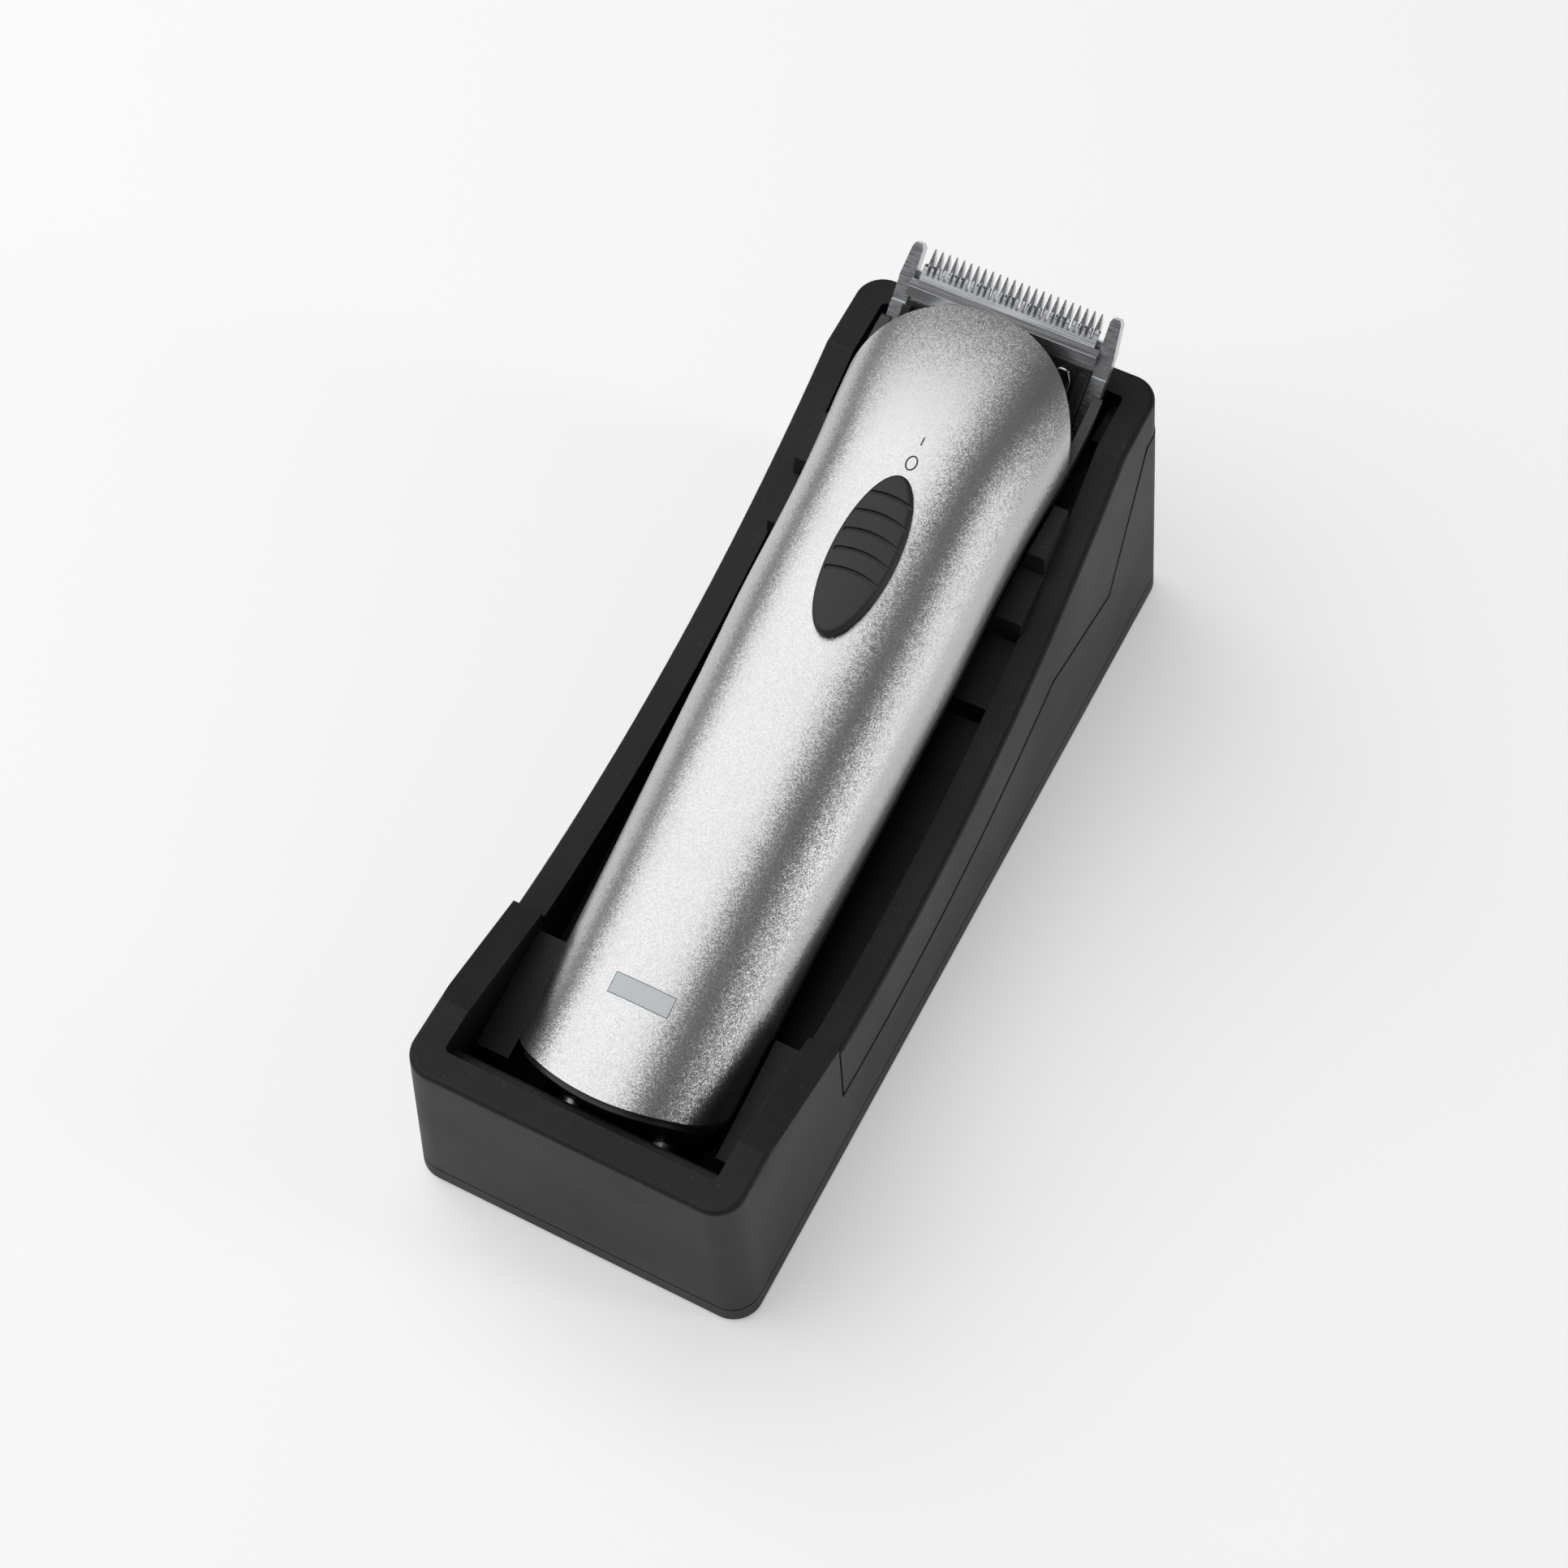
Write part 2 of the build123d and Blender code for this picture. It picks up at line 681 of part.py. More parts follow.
def tail_screws():
    """Two screws that hold the tail cap to the inner frame."""
    shapes = []
    for x in (-tail_screw_x, tail_screw_x):
        screw = rod(2.3, 1.3, (x, tail_head_s - 1.3, tail_screw_n), (-90, 0, 0))
        screw += rod(1.1, 7.5, (x, tail_head_s, tail_screw_n), (-90, 0, 0))
        screw -= box(x - 0.3, x + 0.3, tail_head_s - 2, tail_head_s - 0.7,
                     tail_screw_n - 1.6, tail_screw_n + 1.6)
        screw -= box(x - 1.6, x + 1.6, tail_head_s - 2, tail_head_s - 0.7,
                     tail_screw_n - 0.3, tail_screw_n + 0.3)
        shapes.append(screw)
    return joined(shapes)


def contact_strip(x, grow):
    """One charging contact, set in the underside, grown by a clearance."""
    return box(x - 1.6 - grow, x + 1.6 + grow, contact_s - 3.5 - grow,
               contact_s + 3.5 + grow, -contact_depth, -belly + housing_wall + 0.2)


def charge_contacts():
    """Two plated contact strips."""
    return contact_strip(-contact_x, 0) + contact_strip(contact_x, 0)


def battery_cell():
    """Cylindrical lithium cell with its raised terminal."""
    cell = rod(battery_radius, battery_length, (0, battery_start, battery_n), (-90, 0, 0))
    cell = fillet(cell.edges().filter_by(GeomType.CIRCLE), 0.6)
    end = battery_start + battery_length
    return cell + rod(3.0, 1.0, (0, end, battery_n), (-90, 0, 0))


def battery_tabs():
    """Spot-welded nickel strips at both ends of the cell."""
    end = battery_start + battery_length + 1.0
    strips = []
    for s0, s1 in ((battery_start - 0.3, battery_start), (end, end + 0.3)):
        strips.append(box(-2.5, 2.5, s0, s1, battery_n - 3, board_n - fit))
    return joined(strips)


def inner_frame():
    """Plastic tray that carries the cell, the board and the motor."""
    low = -belly + housing_wall + 0.35
    end = bulkhead_s - fit
    floor = box(-5.2, 5.2, 3.6, end, low, low + 1.0)
    ribs = [box(-16.0, 16.0, s, s + 1.6, low, board_n - fit) for s in frame_ribs]
    ribs.append(box(-16.0, 16.0, frame_tail, frame_tail + 3.2, low, board_n - fit))
    frame = joined([floor] + ribs) & trimmer_body(-housing_wall - fit)
    frame &= tail_plan(-tail_cap_depth - fit)
    start = battery_start - 0.5
    room = battery_length + 2.2
    frame -= rod(battery_radius + fit, room, (0, start, battery_n), (-90, 0, 0))
    frame -= motor_form(fit)
    for x in (-tail_screw_x, tail_screw_x):
        frame -= rod(1.2, 20, (x, -8, tail_screw_n), (-90, 0, 0))
    return frame


def control_board():
    """Circuit board above the cell, with its larger components."""
    board = box(-board_half, board_half, 5.0, motor_start + 24.0,
                board_n, board_n + board_thickness)
    top = board_n + board_thickness
    chips = [box(-4, 2, 34, 40, top, top + 1.1), box(3, 8, 52, 56, top, top + 1.4),
             box(-8, -5, 60, 66, top, top + 1.0)]
    return joined([board] + chips)


def indicator_leds():
    """Three small lamps under the window."""
    top = board_n + board_thickness
    return joined([box(x - 0.8, x + 0.8, window_middle - 0.5, window_middle + 0.5,
                       top, top + 0.8) for x in (-3, 0, 3)])


def slide_switch():
    """Electrical slide switch on the board."""
    top = board_n + board_thickness
    body = box(-2.4, 2.4, button_middle - 5.5, button_middle + 8.5, top, top + 1.7)
    groove = box(-0.9, 0.9, button_middle - 1.8, button_middle + switch_travel + 1.8,
                 top + 0.5, top + 3)
    return body - groove


def switch_carrier(outer_low):
    """Slider that joins the button, through the slot, to the electrical switch."""
    top = board_n + board_thickness
    foot = box(-0.7, 0.7, button_middle - 1.4, button_middle + 1.4, top + 0.7, top + 2.0)
    plate = box(-4.6, 4.6, button_middle - 5.0, button_middle + 5.0, top + 1.9, top + 2.9)
    stem = box(-2.9, 2.9, button_middle - 4.0, button_middle + 4.0, top + 2.8, crown + 1)
    return foot + plate + (stem & outer_low)


def switch_button(outer_high, outer_low):
    """Oval rubber button over the crown, with curved grip grooves."""
    oval = Plane.XY.offset(5) * Pos(0, button_middle) * Ellipse(button_width / 2,
                                                                button_length / 2)
    pad = extrude(oval, amount=20) & outer_high
    top = pad.faces().sort_by(Axis.Z)[-1]
    pad = fillet(top.edges(), 0.9)
    pad -= outer_low
    for i in range(button_grooves):
        pad -= grip_groove(button_middle - 3.4 + i * groove_pitch)
    return pad


def grip_groove(s):
    """Curved groove across the button, bowed towards the blade."""
    bow = 13.0
    ring = rod(bow + 0.32, 10, (0, s - bow, crown + button_rise - 0.55))
    ring -= rod(bow - 0.32, 12, (0, s - bow, crown + button_rise - 1.0))
    return ring & box(-4.6, 4.6, s - 3, s + 1, crown, crown + 5)


def motor_form(grow):
    """Round can with two flats, grown by a clearance."""
    can = rod(motor_radius + grow, motor_length + 2 * grow,
              (0, motor_start - grow, motor_n), (-90, 0, 0))
    flat = motor_half_height + grow
    return can & box(-30, 30, 0, 200, motor_n - flat, motor_n + flat)


def motor_can():
    """Steel can of the motor, with the front boss."""
    can = motor_form(0) - box(-30, 30, 0, motor_start + motor_cap, -30, 30)
    front = motor_start + motor_length
    can += rod(3.0, 1.4, (0, front, motor_n), (-90, 0, 0))
    return can - rod(shaft_radius + 0.04, 40, (0, motor_start, motor_n), (-90, 0, 0))


def motor_end_cap():
    """Plastic rear cap of the motor, with its two terminals."""
    cap = motor_form(0) & box(-30, 30, 0, motor_start + motor_cap, -30, 30)
    cap -= rod(shaft_radius + 0.04, 40, (0, motor_start + 1.5, motor_n), (-90, 0, 0))
    for x in (-6.0, 6.0):
        cap += box(x - 1.2, x + 1.2, motor_start - 2.0, motor_start, motor_n - 0.3, motor_n + 0.3)
    return cap


def motor_shaft():
    """Motor shaft, turning in the can."""
    start = motor_start + 2.0
    return rod(shaft_radius, cam_start - start, (0, start, motor_n), (-90, 0, 0))


def eccentric_cam():
    """Cam pressed on the shaft; its offset pin drives the cutter from side to side."""
    cam = rod(cam_radius, cam_length, (0, cam_start, motor_n), (-90, 0, 0))
    pin = rod(pin_radius, drive_pin_length, (0, cam_start + cam_length, motor_n + cutter_stroke),
              (-90, 0, 0))
    return cam + pin


def front_bulkhead(inner):
    """Black bulkhead in front of the motor."""
    plate = inner & box(-30, 30, bulkhead_s, bulkhead_s + bulkhead_thickness, -30, 30)
    return plate - rod(3.3, 30, (0, bulkhead_s - 10, motor_n), (-90, 0, 0))


def head_shroud(inner):
    """Curved black wall that closes the mouth under the cover's round end."""
    wall = head_plan(head_radius - 1.9) - head_plan(head_radius - 3.1)
    wall &= inner
    wall &= box(-30, 30, bulkhead_s + bulkhead_thickness + 1, 160, shroud_n, 30)
    return wall - box(-8.5, 8.5, head_centre, 160, -30, shroud_middle_n)


# ---------------------------------------------------------------- blade set
def comb_blade():
    """Fixed comb: toothed plate with a raised guard arm along each side."""
    low = -comb_thickness
    span = comb_pitch * comb_teeth / 2
    plate = flat_polygon([(-arm_outer, -guard_length), (-guard_outer, -1.0),
                          (-guard_inner, -comb_tooth), (guard_inner, -comb_tooth),
                          (guard_outer, -1.0), (arm_outer, -guard_length),
                          (arm_outer, -comb_heel), (-arm_outer, -comb_heel)], low, 0)
    teeth = [comb_tooth_form(-span + (i + 0.5) * comb_pitch) for i in range(comb_teeth)]
    arm = flat_polygon([(guard_inner, -comb_heel), (guard_inner, -0.5),
                        (guard_inner + 0.35, 0.25), (guard_outer - 0.35, 0.25),
                        (guard_outer, -0.5), (arm_outer, -guard_length),
                        (arm_outer, -comb_heel)], low, arm_top)
    band = box(guard_inner + 0.0, 30, -guard_length - band_length, -guard_length,
               arm_top - 0.35, 5)
    arm = arm - band
    slope = polygon_prism([(-2.2, low - 1), (1.0, low - 1), (1.0, -0.35)], 40)
    return joined([plate] + teeth + [mirrored(arm)]) - slope


def comb_tooth_form(x):
    """Pointed comb tooth, narrow and thin at its tip."""
    root = 0.42
    tip = 0.09
    top = flat_polygon([(x - root, -comb_tooth - 0.3), (x - root, -2.6), (x - tip, 0),
                        (x + tip, 0), (x + root, -2.6), (x + root, -comb_tooth - 0.3)],
                       -comb_thickness, 0)
    thin = polygon_prism([(-3.0, -comb_thickness - 1), (0.5, -comb_thickness - 1),
                          (0.5, -0.45), (-0.2, -0.45)], 40)
    return top - thin


def moving_cutter():
    """Moving blade: slotted front edge, flat band and bright bevel up to a ridge."""
    rest = 0.03
    profile = polygon_prism([(-cutter_tip, rest), (-cutter_tip - 0.35, cutter_flat * 0.75),
                             (-ridge_start, cutter_flat), (-ridge_start - 1.2, ridge_height),
                             (-ridge_rear, ridge_height), (-ridge_rear, rest)], cutter_half)
    wings = polygon_prism([(-ridge_start - 0.02, cutter_flat + 0.02),
                           (-ridge_start - 1.2, ridge_height),
                           (-ridge_rear, ridge_height), (-ridge_rear, cutter_flat + 0.02)],
                          ridge_half)
    blade = profile + wings
    span = cutter_pitch * (cutter_teeth - 1) / 2
    slot = 0.24
    for i in range(cutter_teeth):
        x = -span + i * cutter_pitch
        root = -cutter_tip - cutter_tooth
        blade -= box(x - slot, x + slot, root, 1, -1, 3) + rod(slot, 4, (x, root, -1))
    return blade


def blade_carrier():
    """Black plastic carrier behind the cutter, open in the middle for the drive."""
    front = -ridge_rear - 1.0
    rear = -comb_heel + 0.4
    half = guard_inner - fit
    wall = 1.5
    base = box(-half, half, rear, front, 0, 1.3)
    sides = [box(half - wall, half, rear + 1.5, front - 0.6, 1.2, 3.0),
             box(-half, -half + wall, rear + 1.5, front - 0.6, 1.2, 3.0)]
    carrier = joined([base] + sides)
    carrier -= box(-5.6, 5.6, rear - 1, front + 1, -1, 6)
    carrier += box(-5.7, 5.7, rear, rear + 2.4, 0, 0.9)
    for x in (-blade_screw_x, blade_screw_x):
        carrier -= rod(1.1, 10, (x, blade_screw_y, -3))
    return carrier


def blade_screws():
    """Two small screws that clamp the carrier to the comb."""
    shapes = []
    for x in (-blade_screw_x, blade_screw_x):
        screw = rod(1.7, 0.9, (x, blade_screw_y, 1.3)) + rod(1.0, 1.3, (x, blade_screw_y, 0))
        screw -= box(x - 1.4, x + 1.4, blade_screw_y - 0.25, blade_screw_y + 0.25, 1.8, 3)
        shapes.append(screw)
    return joined(shapes)


def cutter_springs():
    """Two bent wires that press the cutter on the comb."""
    top = 1.3 + spring_wire
    front = -ridge_rear - spring_wire - 0.08
    shapes = []
    for side in (-1, 1):
        points = [(side * (spring_x + 1.4), -17.5, top), (side * (spring_x + 1.4), -12.0, top),
                  (side * (spring_x + 0.7), front - 1.6, top + 0.9),
                  (side * (spring_x - 0.7), front - 1.6, top + 0.9),
                  (side * (spring_x - 1.4), -12.0, top), (side * (spring_x - 1.4), -17.5, top)]
        path = FilletPolyline(*points, radius=0.7)
        start = Plane(path @ 0, z_dir=path % 0)
        shapes.append(sweep(start * Circle(spring_wire), path=path))
    return joined(shapes)


def cutter_driver():
    """Fork that the cam's pin moves from side to side, fixed to the cutter's ridge."""
    bar = box(-3.0, 3.0, cam_start + cam_length + 6.4, tip_s - 6.4, motor_n - 1.2, motor_n + 2.4)
    fork_rear = cam_start + cam_length + 1.0
    half_slot = pin_radius + 2 * cutter_stroke + 0.2
    fork = box(-half_slot - 1.6, half_slot + 1.6, fork_rear, fork_rear + 6.6, -3.0, 3.4)
    fork -= box(-half_slot, half_slot, fork_rear - 1, fork_rear + 5.2, -10, 10)
    behind = blade_local * box(-40, 40, -60, -ridge_rear, 0.3, 60)
    return (bar + fork) & behind


# ---------------------------------------------------------------- all nodes
def main():
    """Build every node and save it."""
    os.makedirs("parts", exist_ok=True)
    outer = trimmer_body()
    cover_shell = outer - trimmer_body(-cover_wall)
    housing_shell = outer - trimmer_body(-housing_wall)
    wall_inner = trimmer_body(-housing_wall - fit)
    button_base = trimmer_body(0.25)
    stand_nodes = {
        "stand_housing": stand_housing(),
        "cradle_insert": cradle_insert(),
        "stand_base_plate": stand_base_plate(),
        "stand_feet": stand_feet(),
        "base_screws": base_screws(),
        "contact_block": contact_block(),
        "contact_pin_left": contact_pin(-contact_x),
        "contact_pin_right": contact_pin(contact_x),
        "pin_spring_left": pin_spring(-contact_x),
        "pin_spring_right": pin_spring(contact_x),
        "charging_board": charging_board(),
        "power_inlet": power_inlet(),
        "inlet_pin": inlet_pin(),
    }
    trimmer_nodes = {
        "top_cover": top_cover(cover_shell),
        "lower_housing": lower_housing(housing_shell),
        "tail_cap": tail_cap(),
        "tail_screws": tail_screws(),
        "charge_contacts": charge_contacts(),
        "indicator_window": indicator_window(outer),
        "indicator_leds": indicator_leds(),
        "control_board": control_board(),
        "battery_cell": battery_cell(),
        "battery_tabs": battery_tabs(),
        "inner_frame": inner_frame(),
        "slide_switch": slide_switch(),
        "switch_carrier": switch_carrier(button_base),
        "switch_button": switch_button(trimmer_body(button_rise), button_base),
        "motor_can": motor_can(),
        "motor_end_cap": motor_end_cap(),
        "motor_shaft": motor_shaft(),
        "eccentric_cam": eccentric_cam(),
        "front_bulkhead": front_bulkhead(wall_inner),
        "head_shroud": head_shroud(wall_inner),
        "cutter_driver": cutter_driver(),
    }
    blade_nodes = {
        "comb_blade": comb_blade(),
        "moving_cutter": moving_cutter(),
        "blade_carrier": blade_carrier(),
        "blade_screws": blade_screws(),
        "cutter_springs": cutter_springs(),
    }
    for name, shape in stand_nodes.items():
        write(name, shape)
    for name, shape in trimmer_nodes.items():
        write(name, trimmer_place * shape)
    for name, shape in blade_nodes.items():
        write(name, blade_place * shape)


main()
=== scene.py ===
import math

import bpy
from mathutils import Matrix, Vector
from mathutils.bvhtree import BVHTree


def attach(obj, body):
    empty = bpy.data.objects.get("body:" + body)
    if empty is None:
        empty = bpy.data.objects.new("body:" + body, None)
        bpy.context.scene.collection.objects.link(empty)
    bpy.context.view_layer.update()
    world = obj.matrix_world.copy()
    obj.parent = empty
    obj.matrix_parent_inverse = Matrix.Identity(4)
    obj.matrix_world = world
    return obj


bl_info = {
    "name": "Beard Trimmer Looks",
    "version": (1, 0, 0),
    "blender": (4, 5, 0),
    "location": "View3D > Sidebar > Trimmer",
    "description": "Finishes, switch marks and studio for a beard trimmer in its stand",
    "category": "Object",
}

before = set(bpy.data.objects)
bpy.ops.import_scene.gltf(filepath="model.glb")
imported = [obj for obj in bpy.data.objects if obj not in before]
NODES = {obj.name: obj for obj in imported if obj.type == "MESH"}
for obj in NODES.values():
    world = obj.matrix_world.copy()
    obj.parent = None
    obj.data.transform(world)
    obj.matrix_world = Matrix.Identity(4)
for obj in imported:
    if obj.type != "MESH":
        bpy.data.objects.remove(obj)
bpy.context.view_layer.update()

# The trimmer's own frame: its axis starts at the tail and slopes up to the blade.
AXIS_START = Vector((0.0, -0.0694, 0.02695))
AXIS_SLOPE = math.radians(15.5)
TRIMMER_FRAME = Matrix.Translation(AXIS_START) @ Matrix.Rotation(AXIS_SLOPE, 4, "X")

# The body's rounded section: half width at the tail, height and power of its curve.
TAIL_HALF_WIDTH = 0.0179
BODY_HEIGHT = 0.015
SECTION_POWER = 2.3
# Along the axis: where the waist and the head widen, by how much, and where the nose bends.
WAIST_SPAN = (0.015, 0.095)
WAIST_GAIN = 0.0012
FLARE_SPAN = (0.110, 0.128)
FLARE_GAIN = 0.0012
NOSE_START = 0.112
NOSE_RADIUS = 0.100
# Cosine between the mesh and the curve over which the smooth curve takes over.
FORM_MATCH = (0.93, 0.97)

# Switch marks: places along the axis, the ring's half sizes, and the bar's length and
# its share of the stroke. They are found from a height clear of the cover.
ABOVE_COVER = 0.04
OFF_MARK_PLACE = 0.1121
OFF_MARK_HALF_WIDTH = 0.00086
OFF_MARK_HALF_LENGTH = 0.00122
ON_MARK_PLACE = 0.1162
ON_MARK_LENGTH = 0.0015
ON_MARK_FULLNESS = 0.9
RING_STEPS = 48
BAR_STEPS = 4

# Mix node sockets by data type: first, second and result.
MIX_SOCKETS = {"VECTOR": (4, 5, 1), "RGBA": (6, 7, 2)}

# Noise runs over about this span; finishes carry it to their own ranges.
NOISE_SPAN = (0.3, 0.7)

# Ground lines per metre in X, Y and Z.
COMB_LINES = (500.0, 5200.0, 5200.0)
CUTTER_LINES = (60.0, 5200.0, 5200.0)
MOTOR_LINES = (2500.0, 80.0, 2500.0)
TURNED_LINES = (900.0, 900.0, 900.0)
PLATED_LINES = (1500.0, 1500.0, 1500.0)

# Colours of the small pieces and the inner ones, and of dust.
LAMP_CLEAR = (0.85, 0.86, 0.80)
SCREW_STEEL = (0.52, 0.52, 0.53)
SPRING_STEEL = (0.50, 0.49, 0.46)
CONTACT_GOLD = (0.83, 0.62, 0.28)
INLET_BLACK = (0.012, 0.012, 0.012)
MOTOR_STEEL = (0.58, 0.58, 0.58)
DRIVE_WHITE = (0.74, 0.72, 0.67)
CAP_GREY = (0.14, 0.14, 0.15)
BOARD_GREEN = (0.02, 0.13, 0.06)
CELL_BLUE = (0.04, 0.12, 0.36)
TAB_NICKEL = (0.62, 0.60, 0.54)
FRAME_GREY = (0.16, 0.16, 0.17)
PLASTIC_DUST = (0.30, 0.29, 0.27)
PAINT_DUST = (0.30, 0.30, 0.30)

# Camera: the angles it looks from, its distance and its lens.
CAMERA_AZIMUTH = math.radians(27.43)
CAMERA_ELEVATION = math.radians(59.20)
CAMERA_ROLL = math.radians(-0.19)
CAMERA_DISTANCE = 0.480
CAMERA_TARGET = Vector((0.0, 0.0025, 0.030))
CAMERA_OFFSET = (0.00558, -0.00520)
CAMERA_NEAR = 0.01
SENSOR_WIDTH = 36.0
FOCAL_LENGTH = 66.45

# Studio: floor, its glow, the even light and two rectangular lights
# (place, aim, size, power).
FLOOR_HALF = 3.0
FLOOR_GLOW = 0.40
EVEN_LIGHT = 0.11
TOP_BOX = ((-0.62, -0.12, 1.18), (0, 0, 0.03), (1.9, 1.9), 17.0)
RIGHT_STRIP = ((1.2, 0.25, 0.28), (0, 0, 0.05), (0.22, 1.6), 3.4)


# ------------------------------------------------------------------ settings
class TrimmerColours(bpy.types.PropertyGroup):
    """Base colours of the trimmer's finishes."""

    cover: bpy.props.FloatVectorProperty(
        name="Cover paint", description="Metallic paint of the top cover",
        subtype="COLOR", size=3, min=0.0, max=1.0, default=(0.56, 0.56, 0.565))
    stand: bpy.props.FloatVectorProperty(
        name="Stand plastic", description="Moulded plastic of the stand",
        subtype="COLOR", size=3, min=0.0, max=1.0, default=(0.0125, 0.0119, 0.0115))
    body: bpy.props.FloatVectorProperty(
        name="Body plastic", description="Black plastic of the lower shell and the head",
        subtype="COLOR", size=3, min=0.0, max=1.0, default=(0.014, 0.014, 0.0145))
    button: bpy.props.FloatVectorProperty(
        name="Button rubber", description="Soft rubber of the switch button",
        subtype="COLOR", size=3, min=0.0, max=1.0, default=(0.021, 0.0205, 0.020))
    steel: bpy.props.FloatVectorProperty(
        name="Blade steel", description="Ground steel of the comb and the cutter",
        subtype="COLOR", size=3, min=0.0, max=1.0, default=(0.60, 0.61, 0.63))
    window: bpy.props.FloatVectorProperty(
        name="Indicator window", description="Translucent window over the lamps",
        subtype="COLOR", size=3, min=0.0, max=1.0, default=(0.62, 0.65, 0.67))
    mark: bpy.props.FloatVectorProperty(
        name="Switch marks", description="Printed on and off marks",
        subtype="COLOR", size=3, min=0.0, max=1.0, default=(0.012, 0.012, 0.012))
    floor: bpy.props.FloatVectorProperty(
        name="Floor", description="Plain surface that the stand rests on",
        subtype="COLOR", size=3, min=0.0, max=1.0, default=(0.86, 0.86, 0.86))


class TrimmerSizes(bpy.types.PropertyGroup):
    """Sizes of the surface detail and the switch marks."""

    grain: bpy.props.FloatProperty(
        name="Moulded grain", description="Size of the grain in the moulded plastic",
        subtype="DISTANCE", unit="LENGTH", min=0.0001, max=0.002, default=0.00042,
        precision=5)
    flake: bpy.props.FloatProperty(
        name="Paint flake", description="Size of the flakes in the cover's paint",
        subtype="DISTANCE", unit="LENGTH", min=0.00005, max=0.001, default=0.00016,
        precision=5)
    edge: bpy.props.FloatProperty(
        name="Edge softness", description="Radius to which sharp moulded edges are softened",
        subtype="DISTANCE", unit="LENGTH", min=0.0, max=0.001, default=0.00025,
        precision=5)
    mark_stroke: bpy.props.FloatProperty(
        name="Mark stroke", description="Width of the printed marks' lines",
        subtype="DISTANCE", unit="LENGTH", min=0.0001, max=0.001, default=0.00026,
        precision=5)
    mark_lift: bpy.props.FloatProperty(
        name="Mark thickness", description="Thickness of the printed ink",
        subtype="DISTANCE", unit="LENGTH", min=0.000005, max=0.0002, default=0.00002,
        precision=6)


# ------------------------------------------------------------------ shader groups
def new_group(name, inputs, outputs):
    """Empty shader node group with named sockets, and its two end nodes."""
    group = bpy.data.node_groups.new(name, "ShaderNodeTree")
    for label, kind, value in inputs:
        socket = group.interface.new_socket(label, in_out="INPUT", socket_type=kind)
        socket.default_value = value
    for label, kind in outputs:
        group.interface.new_socket(label, in_out="OUTPUT", socket_type=kind)
    return group, group.nodes.new("NodeGroupInput"), group.nodes.new("NodeGroupOutput")


def feed(tree, socket, value):
    """Link an output to a socket, or set the socket to a plain value."""
    if isinstance(value, bpy.types.NodeSocket):
        tree.links.new(value, socket)
    else:
        socket.default_value = value


def add_node(tree, kind, inputs=None, **settings):
    """New node with its properties set and its sockets fed from 'inputs'."""
    node = tree.nodes.new(kind)
    for key, value in settings.items():
        setattr(node, key, value)
    for key, value in (inputs or {}).items():
        feed(tree, node.inputs[key], value)
    return node


def math_node(tree, operation, *values, clamp=False):
    """Output of a Math node fed by sockets or numbers."""
    node = add_node(tree, "ShaderNodeMath", dict(enumerate(values)),
                    operation=operation, use_clamp=clamp)
    return node.outputs[0]


def vector_node(tree, operation, *values, result="Vector", **more):
    """Output of a Vector Math node fed by sockets or vectors."""
    node = add_node(tree, "ShaderNodeVectorMath", {**dict(enumerate(values)), **more},
                    operation=operation)
    return node.outputs[result]


def ranged(tree, value, source, target=(0.0, 1.0), **settings):
    """Value carried from one span of numbers to another."""
    node = add_node(tree, "ShaderNodeMapRange",
                    {"Value": value, "From Min": source[0], "From Max": source[1],
                     "To Min": target[0], "To Max": target[1]}, **settings)
    return node.outputs["Result"]


def mix_node(tree, data_type, factor, first, second):
    """Output of a Mix node between two vectors or two colours."""
    a, b, result = MIX_SOCKETS[data_type]
    node = add_node(tree, "ShaderNodeMix", {0: factor, a: first, b: second},
                    data_type=data_type)
    return node.outputs[result]


def noise(tree, vector, scale, detail, roughness):
    """Noise over a vector; scale is a number or a socket."""
    node = add_node(tree, "ShaderNodeTexNoise",
                    {"Vector": vector, "Scale": scale, "Detail": detail,
                     "Roughness": roughness})
    return node.outputs["Fac"]


def object_place(tree):
    """Place on the piece in its own coordinates."""
    return add_node(tree, "ShaderNodeTexCoord").outputs["Object"]


def mesh_normal(tree):
    """Normal of the piece's own mesh."""
    return add_node(tree, "ShaderNodeNewGeometry").outputs["Normal"]


def softened_edges(tree, radius):
    """Normal with the edges rounded by a radius."""
    return add_node(tree, "ShaderNodeBevel", {"Radius": radius}, samples=4).outputs["Normal"]


def bumped(tree, height, strength, distance, normal):
    """Normal with a relief laid over another normal."""
    node = add_node(tree, "ShaderNodeBump",
                    {"Height": height, "Strength": strength, "Distance": distance,
                     "Normal": normal})
    return node.outputs["Normal"]


def build_grain_group():
    """Fine moulded grain: relief in the normal, and a slow change of tone."""
    group, start, end = new_group(
        "moulded_grain",
        [("Scale", "NodeSocketFloat", 2400.0), ("Relief", "NodeSocketFloat", 0.3),
         ("Edge Radius", "NodeSocketFloat", 0.00025)],
        [("Tone", "NodeSocketFloat"), ("Normal", "NodeSocketVector")])
    place = object_place(group)
    fine = noise(group, place, start.outputs["Scale"], 3.0, 0.6)
    rounded = softened_edges(group, start.outputs["Edge Radius"])
    feed(group, end.inputs["Tone"], noise(group, place, 38.0, 3.0, 0.55))
    feed(group, end.inputs["Normal"],
         bumped(group, fine, start.outputs["Relief"], 0.00012, rounded))
    return group


